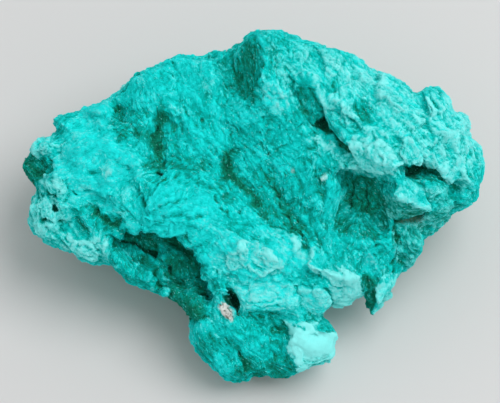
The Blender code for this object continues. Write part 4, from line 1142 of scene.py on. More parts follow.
def paint_zones(face, front, points):
    """Tone, chalk cover and matrix at each point, and how far the marks raise it."""
    stray = swell_vectors(points, 2.4, seed=61, axes=2) + 0.6 * swell_vectors(points, 0.8, seed=64, axes=2)
    warped, ragged, thin = face.copy(), face.copy(), face.copy()
    warped[:, :2] += ZONE_STRAY * stray
    ragged[:, :2] += PATCH_STRAY * stray
    thin[:, :2] += SEAM_STRAY * stray
    tone = np.full(len(points), PLAIN_TONE)
    chalk = np.full(len(points), PLAIN_CHALK)
    matrix, rise = np.zeros(len(points)), np.zeros(len(points))
    for _, *oval, zone_tone, zone_chalk in ZONES:
        weight = in_ellipse(warped, *oval, ZONE_EDGE)
        tone += weight * (zone_tone - tone)
        chalk += weight * (zone_chalk - chalk)
    for _, outline, softness, patch_rise, patch_tone, patch_chalk in PATCHES:
        weight = in_patch(ragged, outline, softness)
        tone += weight * (patch_tone - tone)
        chalk += weight * (patch_chalk - chalk)
        rise += weight * patch_rise
    # Seams are darkened and lose chalk: painted shade in the grooves.
    for _, path, half_width, depth in SEAMS:
        weight = near_path(thin, path, half_width, SEAM_EDGE)
        rise -= weight * depth
        tone += SEAM_SHADE * weight * smoothstep(*SEAM_LIGHT, tone)
        chalk -= SHADE_CHALK_LOSS * weight * chalk
    uneven = 1.0 + RIDGE_UNEVEN * swells(points, 1.5, seed=65)
    for _, path, half_width, height in RIDGES:
        weight = near_path(ragged, path, half_width, RIDGE_EDGE)
        rise += weight * height * uneven
        tone += RIDGE_TONE * weight
    for _, centre, half_length, half_width, turn, height, lump_tone in LUMPS:
        weight = in_ellipse(ragged, from_grid(centre), half_length, half_width, turn, LUMP_EDGE)
        rise += weight * height
        tone += weight * (lump_tone - tone)
        chalk = np.maximum(chalk, LUMP_CHALK * weight)
    for _, *oval, form_rise, flat in FINE_FORMS:
        weight = in_ellipse(thin, *oval, (flat, FORM_END))
        rise += weight * form_rise
        # Holes are darkened and lose chalk: painted shade.
        if form_rise < 0.0:
            tone += HOLE_SHADE * weight
            chalk -= SHADE_CHALK_LOSS * weight * chalk
    for _, *oval, strength in MATRIX_SPOTS:
        matrix = np.maximum(matrix, strength * in_ellipse(ragged, *oval, MATRIX_EDGE) * front)
    swell = layered(points, None, SIDE_LAYERS)
    near = smoothstep(*SIDE_LEVELS, face[:, 2])
    tone = near * tone + (1.0 - near) * (SIDE_TONE[0] + SIDE_TONE[1] * swell)
    chalk = near * chalk + (1.0 - near) * smoothstep(*SIDE_CHALK, swell) * SIDE_CHALK_MOST
    return tone, chalk, matrix, front * rise


# Between these w, in mm, the display face takes over from the back.
FRONT_LEVELS = (-2.5, 0.5)
# Over this height above the base, in mm, the relief sets in.
BASE_RISE = (0.05, 1.4)
# Broken faces of the skin: size in mm, tilt in degrees and seed, and the shares that both sizes count with.
BIG_BREAKS = (6.5, 13.0, 131)
SMALL_BREAKS = (2.8, 20.0, 141)
BREAK_SHARES = (0.9, 0.5)
# Layers of noise for the relief.
LUMP_LAYERS = [(0.20, 3.4, 0.0, 81), (0.13, 1.2, 3.4, 82), (0.16, 0.55, 2.2, 83)]
FINE_STREAKS = [(1.0, 0.42, 2.6, 91)]
BROAD_STREAKS = [(1.0, 1.0, 5.5, 92)]
BAND_STREAKS = [(1.0, 2.4, 12.0, 93)]
PIT_STREAKS = [(1.0, 0.5, 1.2, 121)]
FLAKE_LAYERS = [(0.36, 3.0, 0.0, 101), (0.16, 0.6, 2.2, 102)]
CLUSTER_LAYERS = [(0.7, 3.4, 0.0, 106), (0.5, 0.7, 0.0, 107)]
GRIT = [(1.0, 0.5, 0.0, 161)]
FACET_GRIT = [(1.0, 1.4, 0.0, 162)]
RIM_LAYERS = [(0.50, 1.9, 0.0, 163), (0.22, 0.8, 0.0, 164)]
# How strongly the broad and the fine streaks draw out the chalk's flakes and the clusters of crystals.
FLAKE_SHARE = 0.27
FLAKE_BROAD, FLAKE_FINE = 0.20, 0.13
CLUSTER_BROAD, CLUSTER_FINE = 0.28, 0.25
CLUSTER_LEVELS = (0.0, 0.9)
# The cover over which crust, its flakes and its step set in, and over which crust turns into a flat facet.
CRUST_COVER = (0.10, 0.50)
FLAKE_COVER = (0.04, 0.22)
STEP_COVER = (0.38, 0.52)
FACET_COVER = (0.75, 0.95)
CRUST_HIDES = 0.7
# The tone over which a hollow opens into full relief.
OPEN_TONE = (0.05, 0.30)
PIT_LEVELS = (1.15, 1.90)
# Heights of the finer relief, in mm.
HEIGHTS = SimpleNamespace(
    chalk=0.10, bands=0.11, pits=0.20, grit=0.04, cluster_grit=0.05, clusters=0.06, facet=0.05,
)
# The wall under the rim: how little its normal lies along w, and the w in mm of its foot and top.
STEEP_LEVELS = (0.35, 0.75)
RIM_FOOT = (-11.0, -7.0)
RIM_TOP = (2.5, 4.5)


def over(least, value):
    """The value from 0 to 1, brought to run from the least to 1."""
    return least + (1.0 - least) * value


def read_ground(points, normals, face, front, settings):
    """The fibres, breaks, streaks and painted marks of the skin, which its relief, colours and needles follow."""
    ground = SimpleNamespace(face=face, front=front, normals=normals)
    ground.flow = flow = broad_flow(points, normals, front)
    ground.breaks = [breaks(points, normals, *cut) for cut in (BIG_BREAKS, SMALL_BREAKS)]
    ground.fanned, ground.shingle, ground.luck, ground.grain = tufts(points, normals, flow, settings)
    ground.fine = fine = layered(points, ground.fanned, FINE_STREAKS)
    ground.broad = broad = layered(points, ground.fanned, BROAD_STREAKS)
    ground.bands = layered(points, flow, BAND_STREAKS)
    ground.tone, cover, ground.matrix, ground.rise = paint_zones(face, front, points)

    # The chalk lies in ragged flakes that leave its share of the ground covered.
    flakes = layered(points, flow, FLAKE_LAYERS) + FLAKE_BROAD * broad + FLAKE_FINE * fine
    ground.crust = smoothstep(*CRUST_COVER, cover)
    ground.silk = 1.0 - CRUST_HIDES * ground.crust
    ground.rough = 1.0 - smoothstep(*FACET_COVER, cover)
    ground.cover = cover + FLAKE_SHARE * flakes * smoothstep(*FLAKE_COVER, cover) * over(0.3, ground.rough)
    ground.open = smoothstep(*OPEN_TONE, ground.tone)

    # Clusters of bright crystals, drawn out along the fibres, with smooth ground between them.
    swell, grit = (layered(points, flow, [layer]) for layer in CLUSTER_LAYERS)
    ground.clusters = smoothstep(*CLUSTER_LEVELS, swell + CLUSTER_BROAD * broad + grit + CLUSTER_FINE * fine)
    return ground


def relief(points, ground, calm, settings):
    """The height of the skin's relief in millimetres, and its pits from 0 to 1."""
    flow, crust, rough, silk = ground.flow, ground.crust, ground.rough, ground.silk
    fine, broad = ground.fine, ground.broad
    height = (settings.crust_height / MM) * over(0.25, crust) * over(0.25, rough) * layered(points, flow, LUMP_LAYERS)
    ledge = (settings.ledge_height / MM) * over(0.35, crust) * over(0.3, rough) * ground.open
    height += ledge * calm * ledges(points, flow)
    height += HEIGHTS.chalk * smoothstep(*STEP_COVER, ground.cover) * over(0.4, rough)
    big, small = (part * cut for part, cut in zip(BREAK_SHARES, ground.breaks))
    height += settings.break_share * over(0.3, crust) * (big + small)
    height += (settings.tuft_rise / MM) * silk * over(0.3, ground.open) * ground.shingle
    height += (settings.streak_height / MM) * over(0.4, silk) * (fine + 0.5 * broad) * over(0.3, rough)
    height += HEIGHTS.bands * silk * ground.bands * ground.open
    pits = smoothstep(*PIT_LEVELS, layered(points, flow, PIT_STREAKS)) * over(0.25, crust) * rough * calm
    height = calm * (height - HEIGHTS.pits * pits) + ground.rise
    grit = (HEIGHTS.grit + HEIGHTS.cluster_grit * ground.clusters) * layered(points, flow, GRIT)
    height += grit + HEIGHTS.clusters * silk * ground.clusters
    height += (1.0 - calm) * (HEIGHTS.facet * fine + HEIGHTS.facet * layered(points, flow, FACET_GRIT))

    # The steep wall under the rim is broken up further.
    steep = 1.0 - smoothstep(*STEEP_LEVELS, np.abs(ground.normals @ FACE_AXES[2]))
    level = ground.face[:, 2]
    rim = steep * smoothstep(*RIM_FOOT, level) * (1.0 - smoothstep(*RIM_TOP, level))
    return height + rim * layered(points, flow, RIM_LAYERS), pits


# How the relief changes the tone: smoothing passes and the relief in mm that counts in full. The tone is lowered in
# hollows and pits and raised on rises as painted shade and light; the other gains follow the mineral's own streaks,
# tufts and clusters.
TONE_SCALES = ((3, 0.06), (14, 0.22), (80, 0.8))
TONE_GAINS = SimpleNamespace(
    small=0.06, mid=0.05, wide=0.09, fine=0.04, broad=0.042, luck=0.03, pits=-0.17, bands=0.04, clusters=0.17,
)
CLUSTER_MEAN = 0.22
# A dark tone changes less: by the tone's share of the first number, held between the other two.
TONE_FULL = (0.6, 0.3, 1.0)
# How the relief, pits and clusters change the cover, and the cover over which silk gives way to chalk. The pits' loss
# of cover is part of their painted shade.
COVER_MID, COVER_WIDE = 0.20, 0.12
COVER_PITS, COVER_CLUSTERS = -0.26, 0.24
SILKY_COVER = (0.25, 0.60)
CHALKY_COVER = (0.20, 0.50)
DUSTY_COVER = (0.0, 0.10)
PIT_BARE = 0.7


def colour_skin(mesh, points, edges, ground, calm, pits, free):
    """Stores the tone, the chalk's cover and what the needles follow, in step with the finished relief."""
    normals = read_normals(mesh)
    small, mid, wide = (
        np.clip(dot(points - smoothed(points, edges, passes), normals) / full, -1.0, 1.0)
        for passes, full in TONE_SCALES
    )
    gain, crust, clusters = TONE_GAINS, ground.crust, ground.clusters
    # Tone goes down in hollows and pits and up on raised places: painted shade and light.
    shift = gain.small * small + gain.mid * mid
    shift += (gain.wide * wide + gain.fine * ground.fine + gain.broad * ground.broad + gain.luck * ground.luck * calm
              + gain.pits * pits)
    shift += gain.bands * ground.bands + gain.clusters * ground.silk * (clusters - CLUSTER_MEAN)
    full, least, most = TONE_FULL
    tone = np.clip(ground.tone + shift * np.clip(ground.tone / full, least, most), 0.0, 1.0)
    cover = ground.cover + COVER_MID * mid * crust + COVER_WIDE * wide * crust
    silky = 1.0 - smoothstep(*SILKY_COVER, cover)
    chalky = smoothstep(*CHALKY_COVER, cover) * ground.rough * (1.0 - PIT_BARE * pits)
    dusty = over(0.3, smoothstep(*DUSTY_COVER, cover))
    cover = np.clip(cover + COVER_PITS * pits + COVER_CLUSTERS * clusters * silky * ground.open * dusty, 0.0, 1.0)
    front, matrix = ground.front, ground.matrix
    standing = free * (1.0 - matrix)
    values = {
        "flow": unit(ground.fanned - dot(ground.fanned, normals)[:, None] * normals),
        "grain": ground.grain,
        "lay": unit(smoothed(normals, edges, 12)),
        "tone": tone,
        "cover": cover,
        "matrix": matrix,
        "silky": front * silky * standing,
        "glinting": front * silky * standing * over(0.12, clusters),
        "chalky": front * chalky * standing,
        "behind": (1.0 - front) * standing,
    }
    for name, each in values.items():
        set_attribute(mesh, name, each)


# How far the relief as a whole is sunk into the solid, in mm, and the last light smoothing.
SINK = 0.10
LAST_SMOOTHING = 0.2


def shape_rock(rock, settings):
    """Breaks the skin into ledges, crust, shingles and streaks, and stores what the colours and needles follow."""
    mesh = rock.data
    edges = read_edges(mesh)
    points, normals = read_points(mesh), read_normals(mesh)
    face = to_face(points)
    front = smoothstep(*FRONT_LEVELS, face[:, 2])
    low = CAD_BOX[0][2] / MM
    free = smoothstep(low + BASE_RISE[0], low + BASE_RISE[1], points[:, 2])
    points, calm = flatten_patches(points, face)
    points = points + (settings.raggedness / MM) * free[:, None] * ragged_shift(points, normals)
    points = points + free[:, None] * cut_teeth(face, front)
    ground = read_ground(points, normals, face, front, settings)
    height, pits = relief(points, ground, calm, settings)
    points = points + normals * ((height - SINK) * free)[:, None]
    base = points[:, 2] < low + BASE_RISE[0]
    points[base, 2] = low
    points = smoothed(points, edges, 1, LAST_SMOOTHING)
    points = within_box(draw_into_box(points, edges))
    points[base, 2] = low
    write_points(mesh, points)
    colour_skin(mesh, points, edges, ground, calm, pits, free)

    mesh.calc_loop_triangles()
    finish = rock.modifiers.new("finish", "DECIMATE")
    finish.ratio = min(1.0, settings.triangles / len(mesh.loop_triangles))
    finish.use_collapse_triangulate = True
    apply_modifiers(rock)
    write_points(rock.data, within_box(read_points(rock.data)))
    rock.data.shade_smooth()


# Materials.

SKIN_ROUGHNESS = 0.62
NEEDLE_ROUGHNESS = 0.48
SPECULAR = 0.012
# The ragged cover over which green turns into chalk, on the skin and on the needles.
CHALK_COVER = (0.27, 0.90)


def set_input(tree, socket, value):
    """Links a socket to another one, or sets it to a plain value."""
    if isinstance(value, bpy.types.NodeSocket):
        tree.links.new(value, socket)
    else:
        socket.default_value = value


def add_node(tree, kind, values=None, **settings):
    """Adds a node, sets its properties, and sets or links its inputs."""
    node = tree.nodes.new(kind)
    for key, value in settings.items():
        setattr(node, key, value)
    for key, value in (values or {}).items():
        set_input(tree, node.inputs[key], value)
    return node


def mixed(tree, factor, first, second):
    """A colour mixed from two, which are sockets or plain colours."""
    mix = add_node(tree, "ShaderNodeMix", {"Factor": factor}, data_type="RGBA")
    sockets = [socket for socket in mix.inputs if socket.type == "RGBA"]
    for socket, value in zip(sockets, (first, second)):
        set_input(tree, socket, value)
    return next(socket for socket in mix.outputs if socket.type == "RGBA")


def ramp(tree, value, stops):
    """A colour ramp over a value socket, with its stops in order from the lowest."""
    node = add_node(tree, "ShaderNodeValToRGB", {"Fac": value})
    elements = node.color_ramp.elements
    elements[0].position, elements[0].color = stops[0]
    elements[1].position, elements[1].color = stops[-1]
    for position, stop_colour in stops[1:-1]:
        elements.new(position).color = stop_colour
    return node.outputs["Color"]


def mineral_colour(tree, colours, tone, chalk):
    """The mineral's colour for a tone and a chalk socket."""
    # The low stops paint the green as it looks in shade, and the top stop as it looks in full light.
    green = ramp(tree, tone, [
        (0.0, colours.deep), (0.20, colours.hollow), (0.30, colours.moss), (0.40, colours.shade),
        (0.65, colours.body), (1.0, colours.bright),
    ])
    return mixed(tree, chalk, green, colours.chalk)


def new_material(name, roughness):
    """A material with the mineral's low sheen, and its tree and shader."""
    material = bpy.data.materials.new(name)
    material.use_nodes = True
    shader = material.node_tree.nodes["Principled BSDF"]
    shader.inputs["Roughness"].default_value = roughness
    shader.inputs["Specular IOR Level"].default_value = SPECULAR
    return material, material.node_tree, shader


def attribute(tree, name, output="Fac"):
    """The socket of an attribute of the mesh."""
    return add_node(tree, "ShaderNodeAttribute", attribute_name=name).outputs[output]


def scaled_noise(tree, vector, scales, detail, reach):
    """Noise on a stretched vector socket, spread out to run as far below 0 as above."""
    stretch = add_node(tree, "ShaderNodeVectorMath", {0: vector, 1: scales}, operation="MULTIPLY")
    noise = add_node(tree, "ShaderNodeTexNoise", {
        "Vector": stretch.outputs[0], "Scale": 1.0, "Detail": detail, "Roughness": 0.6,
    })
    return add_node(tree, "ShaderNodeMapRange", {
        "Value": noise.outputs["Fac"], "From Min": 0.28, "From Max": 0.72, "To Min": -reach, "To Max": reach,
    }).outputs["Result"]


def summed(tree, *sockets, clamp=False):
    """The sum of value sockets."""
    last = sockets[0]
    for number, socket in enumerate(sockets[1:], 2):
        held = clamp and number == len(sockets)
        last = add_node(tree, "ShaderNodeMath", {0: last, 1: socket}, operation="ADD", use_clamp=held).outputs[0]
    return last


def rock_material(colours):
    """The rock's skin: painted tone and cover, with silk along each tuft and grain between the vertices."""
    material, tree, shader = new_material("malachite_skin", SKIN_ROUGHNESS)
    tone, cover, matrix = (attribute(tree, name) for name in ("tone", "cover", "matrix"))
    tuft = attribute(tree, "grain", "Vector")
    place = add_node(tree, "ShaderNodeTexCoord").outputs["Object"]
    # The flat pale facets have no silk.
    fibrous = add_node(tree, "ShaderNodeMapRange", {
        "Value": cover, "From Min": 0.80, "From Max": 0.92, "To Min": 1.0, "To Max": 0.0,
    }).outputs["Result"]
    silk, strands = (
        add_node(tree, "ShaderNodeMath", {0: noise, 1: fibrous}, operation="MULTIPLY").outputs[0]
        for noise in (
            scaled_noise(tree, tuft, (6.5, 0.8, 1.0), detail=2.0, reach=0.15),
            scaled_noise(tree, tuft, (2.6, 0.4, 1.0), detail=1.0, reach=0.09),
        )
    )
    grain = scaled_noise(tree, place, (3400.0, 3400.0, 3400.0), detail=2.0, reach=0.10)
    crumbs = scaled_noise(tree, place, (2300.0, 2300.0, 2300.0), detail=3.0, reach=0.18)
    chalk = add_node(tree, "ShaderNodeMapRange", {
        "Value": summed(tree, cover, crumbs, silk), "From Min": CHALK_COVER[0], "From Max": CHALK_COVER[1],
    }, interpolation_type="SMOOTHSTEP").outputs["Result"]
    green = mineral_colour(tree, colours, summed(tree, tone, silk, strands, grain, clamp=True), chalk)
    flecks = add_node(tree, "ShaderNodeTexNoise", {"Vector": place, "Scale": 1300.0, "Detail": 1.0}).outputs["Fac"]
    stone = ramp(tree, flecks, [(0.34, colours.matrix_shade), (0.54, colours.matrix)])
    set_input(tree, shader.inputs["Base Color"], mixed(tree, matrix, green, stone))
    bump = add_node(tree, "ShaderNodeBump", {
        "Strength": 0.6, "Distance": 0.0004, "Height": summed(tree, silk, strands, grain),
    })
    set_input(tree, shader.inputs["Normal"], bump.outputs["Normal"])
    return material


def needle_material(colours):
    """The needles: their own tone and chalk, with a silky sheen."""
    material = bpy.data.materials.get("malachite_needles")
    if material:
        return material
    material, tree, shader = new_material("malachite_needles", NEEDLE_ROUGHNESS)
    green = mineral_colour(tree, colours, attribute(tree, "tone"), attribute(tree, "chalk"))
    set_input(tree, shader.inputs["Base Color"], green)
    return material


# Needles.

NEEDLE_INPUTS = [
    ("Where", "NodeSocketString"), ("Density", "NodeSocketFloat"), ("Shortest", "NodeSocketFloat"),
    ("Longest", "NodeSocketFloat"), ("Width", "NodeSocketFloat"), ("Lift", "NodeSocketFloat"),
    ("Spread", "NodeSocketFloat"), ("Seed", "NodeSocketInt"), ("Material", "NodeSocketMaterial"),
]
# A needle has three points around its middle and one at each end.
NEEDLE_SIDES = 3
NEEDLE_POINTS = NEEDLE_SIDES + 2
# A needle's lean and thickness are drawn between these shares of its lift and its width.
LEAN_SHARES = (-1.0, 0.3)
WIDTH_SHARES = (0.65, 1.25)


def needle_tree():
    """The Geometry Nodes tree that grows needles on a surface, along its flow attribute."""
    tree = bpy.data.node_groups.get("needles_on_rock")
    if tree:
        return tree
    tree = bpy.data.node_groups.new("needles_on_rock", "GeometryNodeTree")
    tree.interface.new_socket("Surface", in_out="INPUT", socket_type="NodeSocketGeometry")
    for name, kind in NEEDLE_INPUTS:
        tree.interface.new_socket(name, in_out="INPUT", socket_type=kind)
    tree.interface.new_socket("Needles", in_out="OUTPUT", socket_type="NodeSocketGeometry")
    given = add_node(tree, "NodeGroupInput").outputs

    def maths(operation, a, b):
        return add_node(tree, "ShaderNodeMath", {0: a, 1: b}, operation=operation).outputs[0]

    def random(low, high, offset):
        seed = maths("ADD", given["Seed"], offset)
        node = add_node(tree, "FunctionNodeRandomValue", {"Seed": seed}, data_type="FLOAT")
        for socket, value in zip([socket for socket in node.inputs if socket.type == "VALUE"], (low, high)):
            set_input(tree, socket, value)
        return next(socket for socket in node.outputs if socket.type == "VALUE")

    def named(name, kind):
        return add_node(tree, "GeometryNodeInputNamedAttribute", {"Name": name}, data_type=kind).outputs["Attribute"]

    scatter = add_node(tree, "GeometryNodeDistributePointsOnFaces", {
        "Mesh": given["Surface"], "Seed": given["Seed"],
        "Density": maths("MULTIPLY", named(given["Where"], "FLOAT"), given["Density"]),
    }, distribute_method="RANDOM")
    ground = add_node(tree, "FunctionNodeAxesToRotation", {
        "Primary Axis": named("lay", "FLOAT_VECTOR"), "Secondary Axis": named("flow", "FLOAT_VECTOR"),
    }, primary_axis="Z", secondary_axis="X")
    lean = add_node(tree, "ShaderNodeCombineXYZ", {
        "X": random(-math.pi, math.pi, 1),
        "Y": maths("MULTIPLY", random(*LEAN_SHARES, 2), given["Lift"]),
        "Z": maths("MULTIPLY", random(-1.0, 1.0, 3), given["Spread"]),
    })
    turn = add_node(tree, "FunctionNodeEulerToRotation", {"Euler": lean.outputs[0]})
    rotate = add_node(tree, "FunctionNodeRotateRotation", {
        "Rotation": ground.outputs["Rotation"], "Rotate By": turn.outputs["Rotation"],
    }, rotation_space="LOCAL")
    size = add_node(tree, "ShaderNodeCombineXYZ", {
        "X": random(given["Shortest"], given["Longest"], 4),
        "Y": maths("MULTIPLY", random(*WIDTH_SHARES, 5), given["Width"]),
        "Z": maths("MULTIPLY", random(*WIDTH_SHARES, 6), given["Width"]),
    })

    # A tube of size 1 along X, at full width in the middle and drawn to a point at each end.
    tube = add_node(tree, "GeometryNodeMeshCylinder", {
        "Vertices": NEEDLE_SIDES, "Side Segments": 2, "Radius": 0.5, "Depth": 1.0,
    }, fill_type="NONE")
    lying = add_node(tree, "GeometryNodeTransform", {
        "Geometry": tube.outputs["Mesh"], "Rotation": (0.0, math.pi / 2, 0.0),
    })
    place = add_node(tree, "GeometryNodeInputPosition").outputs[0]
    parts = add_node(tree, "ShaderNodeSeparateXYZ", {0: place}).outputs
    full = maths("SUBTRACT", 1.0, maths("MULTIPLY", maths("MULTIPLY", parts["X"], parts["X"]), 4.0))
    drawn = add_node(tree, "ShaderNodeCombineXYZ", {
        "X": parts["X"], "Y": maths("MULTIPLY", parts["Y"], full), "Z": maths("MULTIPLY", parts["Z"], full),
    })
    pointed = add_node(tree, "GeometryNodeSetPosition", {
        "Geometry": lying.outputs["Geometry"], "Position": drawn.outputs[0],
    })
    needle = add_node(tree, "GeometryNodeMergeByDistance", {
        "Geometry": pointed.outputs["Geometry"], "Distance": 0.01,
    })

    grow = add_node(tree, "GeometryNodeInstanceOnPoints", {
        "Points": scatter.outputs["Points"], "Instance": needle.outputs["Geometry"],
        "Rotation": rotate.outputs["Rotation"], "Scale": size.outputs[0],
    })
    luck = add_node(tree, "GeometryNodeStoreNamedAttribute", {
        "Geometry": grow.outputs["Instances"], "Name": "luck", "Value": random(0.0, 1.0, 7),
    }, data_type="FLOAT", domain="INSTANCE")
    real = add_node(tree, "GeometryNodeRealizeInstances", {"Geometry": luck.outputs["Geometry"]})
    finish = add_node(tree, "GeometryNodeSetMaterial", {
        "Geometry": real.outputs["Geometry"], "Material": given["Material"],
    })
    add_node(tree, "NodeGroupOutput", {"Needles": finish.outputs["Geometry"]})
    return tree


# A dark ground's needles differ less: by the tone's share of the first number, held between the other two.
NEEDLE_FULL = (0.5, 0.4, 1.0)
NEEDLE_TONES = (0.05, 0.95)
NEEDLE_CHALKS = (0.02, 0.98)
# The middle of a needle is painted lighter than its ends by this much, a painted sheen.
NEEDLE_SHINE = 0.06
# How far luck spreads the cover, and how steeply it singles out the needles that sparkle, which are painted pale as
# highlights.
NEEDLE_RAGGED = 0.27
SPARKLE_POWER = 6
# Keeps a needle's points apart on its map, where its faces would have no area otherwise.
CHALK_STEP = 0.012
SKIN_ATTRIBUTES = ("luck", "flow", "lay", "grain", "cover", "silky", "glinting", "chalky", "behind", "matrix")


def colour_needles(mesh, points, lightness, scatter, chalkiness, sparkle):
    """Gives each needle its tone and chalk, and a map that follows them."""
    luck, tone = get_attribute(mesh, "luck"), get_attribute(mesh, "tone")
    full, least, most = NEEDLE_FULL
    # The lightness lifts a needle's tone above its ground; for the glints it is a painted highlight.
    tone += (lightness + scatter * (2.0 * luck - 1.0)) * np.clip(tone / full, least, most)
    needles = points.reshape(-1, NEEDLE_POINTS, 3)
    along = np.linalg.norm(needles - needles.mean(axis=1, keepdims=True), axis=2)
    along = (along / np.maximum(along.max(axis=1, keepdims=True), 1e-6)).ravel()
    tone = np.clip(tone, *NEEDLE_TONES) + NEEDLE_SHINE * (0.5 - along)
    ragged = get_attribute(mesh, "cover") * chalkiness + NEEDLE_RAGGED * (luck - 0.5)
    # Sparkle paints the luckiest needles pale: a painted highlight.
    chalk = smoothstep(*CHALK_COVER, ragged) + sparkle * luck**SPARKLE_POWER
    steps = np.linspace(-CHALK_STEP, CHALK_STEP, NEEDLE_POINTS)
    chalk = np.clip(chalk, *NEEDLE_CHALKS) + np.tile(steps, len(needles))
    for name in SKIN_ATTRIBUTES:
        if name in mesh.attributes:
            mesh.attributes.remove(mesh.attributes[name])
    set_attribute(mesh, "tone", tone)
    set_attribute(mesh, "chalk", chalk)
    corners = np.empty(len(mesh.loops), np.int32)
    mesh.loops.foreach_get("vertex_index", corners)
    sheet = mesh.uv_layers.new(name="OFBake")
    sheet.data.foreach_set("uv", np.column_stack([tone, chalk])[corners].astype(np.float32).ravel())


def grow_needles(name, where, settings, seed, **finish):
    """Grows one kind of needle on the rock as a plain mesh."""
    rock = bpy.data.objects.get(ROCK)
    if rock is None:
        raise RuntimeError("build the rock body before its needles")
    piece = new_object(name, rock.data.copy())
    modifier = piece.modifiers.new("needles", "NODES")
    modifier.node_group = needle_tree()
    values = {
        "Where": where, "Density": settings.per_cm2 * 1e4, "Shortest": settings.shortest,
        "Longest": settings.longest, "Width": settings.width, "Lift": settings.lift, "Spread": settings.spread,
        "Seed": seed, "Material": needle_material(bpy.context.scene.malachite.colours),
    }
    for socket in modifier.node_group.interface.items_tree:
        if socket.in_out == "INPUT" and socket.name in values:
            modifier[socket.identifier] = values[socket.name]
    apply_modifiers(piece)
    mesh = piece.data
    if len(mesh.vertices) % NEEDLE_POINTS or not len(mesh.vertices):
        raise RuntimeError("the needles did not grow as whole needles")
    points = read_points(mesh)
    write_points(mesh, within_box(points))
    colour_needles(mesh, points, **finish)
    fit_to_body(piece)


# Operators.


class MALACHITE_OT_rock(Operator):
    """Build the rock body with its crust, shingles and streaks"""

    bl_idname = "malachite.rock"
    bl_label = "Rock Body"

    def execute(self, context):
        specimen = context.scene.malachite
        rock = fine_skin(specimen.rock)
        shape_rock(rock, specimen.rock)
        rock.data.materials.append(rock_material(specimen.colours))
        fit_to_body(rock)
        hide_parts(NODE)
        return {"FINISHED"}


class MALACHITE_OT_silk(Operator):
    """Grow the needles of the silky areas"""

    bl_idname = "malachite.silk"
    bl_label = "Silk Needles"

    def execute(self, context):
        grow_needles(
            "silk_needles", "silky", context.scene.malachite.silk, seed=100,
            lightness=0.02, scatter=0.12, chalkiness=0.8, sparkle=0.0)
        return {"FINISHED"}


class MALACHITE_OT_strands(Operator):
    """Grow the long strands of the silky areas"""

    bl_idname = "malachite.strands"
    bl_label = "Silk Strands"

    def execute(self, context):
        # The strands' sparkle is a painted highlight.
        grow_needles(
            "silk_strands", "silky", context.scene.malachite.strands, seed=150,
            lightness=0.08, scatter=0.18, chalkiness=1.0, sparkle=0.2)
        return {"FINISHED"}


class MALACHITE_OT_glints(Operator):
    """Lay single needles over the silk, painted bright as glints"""

    bl_idname = "malachite.glints"
    bl_label = "Glints"

    def execute(self, context):
        # Their lightness and sparkle are painted highlights.
        grow_needles(
            "silk_glints", "glinting", context.scene.malachite.glints, seed=200,
            lightness=0.25, scatter=0.22, chalkiness=1.0, sparkle=0.9)
        return {"FINISHED"}


class MALACHITE_OT_grains(Operator):
    """Grow the stubby grains of the chalky crust"""

    bl_idname = "malachite.grains"
    bl_label = "Crust Grains"

    def execute(self, context):
        grow_needles(
            "crust_grains", "chalky", context.scene.malachite.grains, seed=300,
            lightness=0.02, scatter=0.14, chalkiness=0.95, sparkle=0.0)
        return {"FINISHED"}


class MALACHITE_OT_flakes(Operator):
    """Grow the broader flakes of the chalky crust"""

    bl_idname = "malachite.flakes"
    bl_label = "Crust Flakes"

    def execute(self, context):
        grow_needles(
            "crust_flakes", "chalky", context.scene.malachite.flakes, seed=350,
            lightness=0.03, scatter=0.14, chalkiness=1.05, sparkle=0.0)
        return {"FINISHED"}


class MALACHITE_OT_back(Operator):
    """Grow the needles of the back and sides"""

    bl_idname = "malachite.back"
    bl_label = "Back Needles"

    def execute(self, context):
        grow_needles(
            "back_needles", "behind", context.scene.malachite.back, seed=400,
            lightness=0.02, scatter=0.12, chalkiness=1.0, sparkle=0.0)
        return {"FINISHED"}


# The stage, in metres. The floor lies just under the base.
FLOOR_HALF = 1.5
FLOOR_GAP = 0.0001
FLOOR_ROUGHNESS = 0.9
FLOOR_SPECULAR = 0.1
KEY_TOWARDS = (0.42, 0.05, 0.90)
KEY_AWAY = 0.9
KEY_SIZE = 0.7
# The camera's sensor in millimetres, and how far before the face's centre its frame width is taken, in metres.
SENSOR_WIDTH = 36.0
FRAME_BEFORE = 6.0 * MM
CLIP_START, CLIP_END = 0.05, 10.0


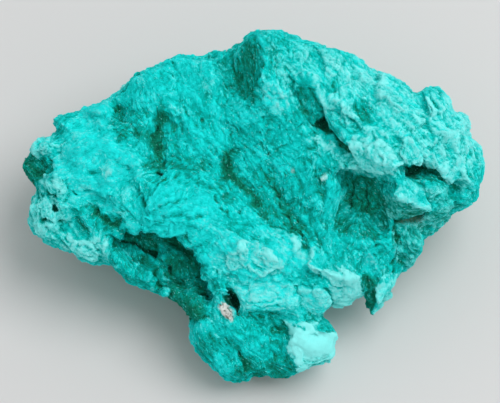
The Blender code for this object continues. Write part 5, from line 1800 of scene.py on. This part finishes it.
class MALACHITE_OT_stage(Operator):
    """Set up the pale floor, the soft light and the camera"""

    bl_idname = "malachite.stage"
    bl_label = "Stage"

    def execute(self, context):
        settings = context.scene.malachite.stage
        scene = context.scene
        scene.view_settings.view_transform = "Standard"
        sheet = bpy.data.meshes.new("floor")
        half, level = FLOOR_HALF, CAD_BOX[0][2] - FLOOR_GAP
        corners = [(-half, -half, level), (half, -half, level), (half, half, level), (-half, half, level)]
        sheet.from_pydata(corners, [], [(0, 1, 2, 3)])
        floor = new_object("floor", sheet)
        paper = bpy.data.materials.new("pale_floor")
        paper.use_nodes = True
        shader = paper.node_tree.nodes["Principled BSDF"]
        shader.inputs["Base Color"].default_value = settings.floor_colour
        shader.inputs["Roughness"].default_value = FLOOR_ROUGHNESS
        shader.inputs["Specular IOR Level"].default_value = FLOOR_SPECULAR
        sheet.materials.append(paper)

        centre = Vector(FACE_CENTRE * MM)
        towards = Vector(KEY_TOWARDS).normalized()
        light = bpy.data.lights.new("key", "AREA")
        light.shape = "DISK"
        light.size = KEY_SIZE
        light.energy = settings.key_power
        key = new_object("key", light)
        key.location = centre + towards * KEY_AWAY
        key.rotation_euler = towards.to_track_quat("Z", "Y").to_euler()

        world = bpy.data.worlds.new("surroundings")
        world.use_nodes = True
        background = world.node_tree.nodes["Background"]
        background.inputs["Color"].default_value = (1.0, 1.0, 1.0, 1.0)
        background.inputs["Strength"].default_value = settings.fill_strength
        scene.world = world

        camera = bpy.data.cameras.new("camera")
        camera.lens = settings.lens
        camera.sensor_width = SENSOR_WIDTH
        camera.clip_start, camera.clip_end = CLIP_START, CLIP_END
        eye = new_object("camera", camera)
        out = Vector(FACE_AXES[2])
        eye.location = centre + out * (settings.frame_width * camera.lens / camera.sensor_width + FRAME_BEFORE)
        eye.rotation_euler = out.to_track_quat("Z", "Y").to_euler()
        scene.camera = eye
        return {"FINISHED"}


STEPS = [
    MALACHITE_OT_rock, MALACHITE_OT_silk, MALACHITE_OT_strands, MALACHITE_OT_glints, MALACHITE_OT_grains,
    MALACHITE_OT_flakes, MALACHITE_OT_back, MALACHITE_OT_stage,
]


class MALACHITE_PT_panel(Panel):
    """Lists the specimen's steps and sizes"""

    bl_idname = "MALACHITE_PT_panel"
    bl_label = "Malachite"
    bl_space_type = "VIEW_3D"
    bl_region_type = "UI"
    bl_category = "Malachite"

    def draw(self, context):
        for step in STEPS:
            self.layout.operator(step.bl_idname)
        specimen = context.scene.malachite
        for group in SpecimenSettings.__annotations__:
            box = self.layout.box()
            box.label(text=group.capitalize())
            for name in getattr(specimen, group).__annotations__:
                box.prop(getattr(specimen, group), name)


CLASSES = [
    RockSettings, ColourSettings, SilkSettings, StrandSettings, GlintSettings, GrainSettings, FlakeSettings,
    BackSettings, StageSettings, SpecimenSettings, *STEPS, MALACHITE_PT_panel,
]


def register():
    for each in CLASSES:
        bpy.utils.register_class(each)
    bpy.types.Scene.malachite = PointerProperty(type=SpecimenSettings)


def unregister():
    del bpy.types.Scene.malachite
    for each in reversed(CLASSES):
        bpy.utils.unregister_class(each)


def main():
    register()
    bpy.ops.malachite.rock()
    bpy.ops.malachite.silk()
    bpy.ops.malachite.strands()
    bpy.ops.malachite.glints()
    bpy.ops.malachite.grains()
    bpy.ops.malachite.flakes()
    bpy.ops.malachite.back()
    bpy.ops.malachite.stage()


if __name__ == "__main__":
    main()
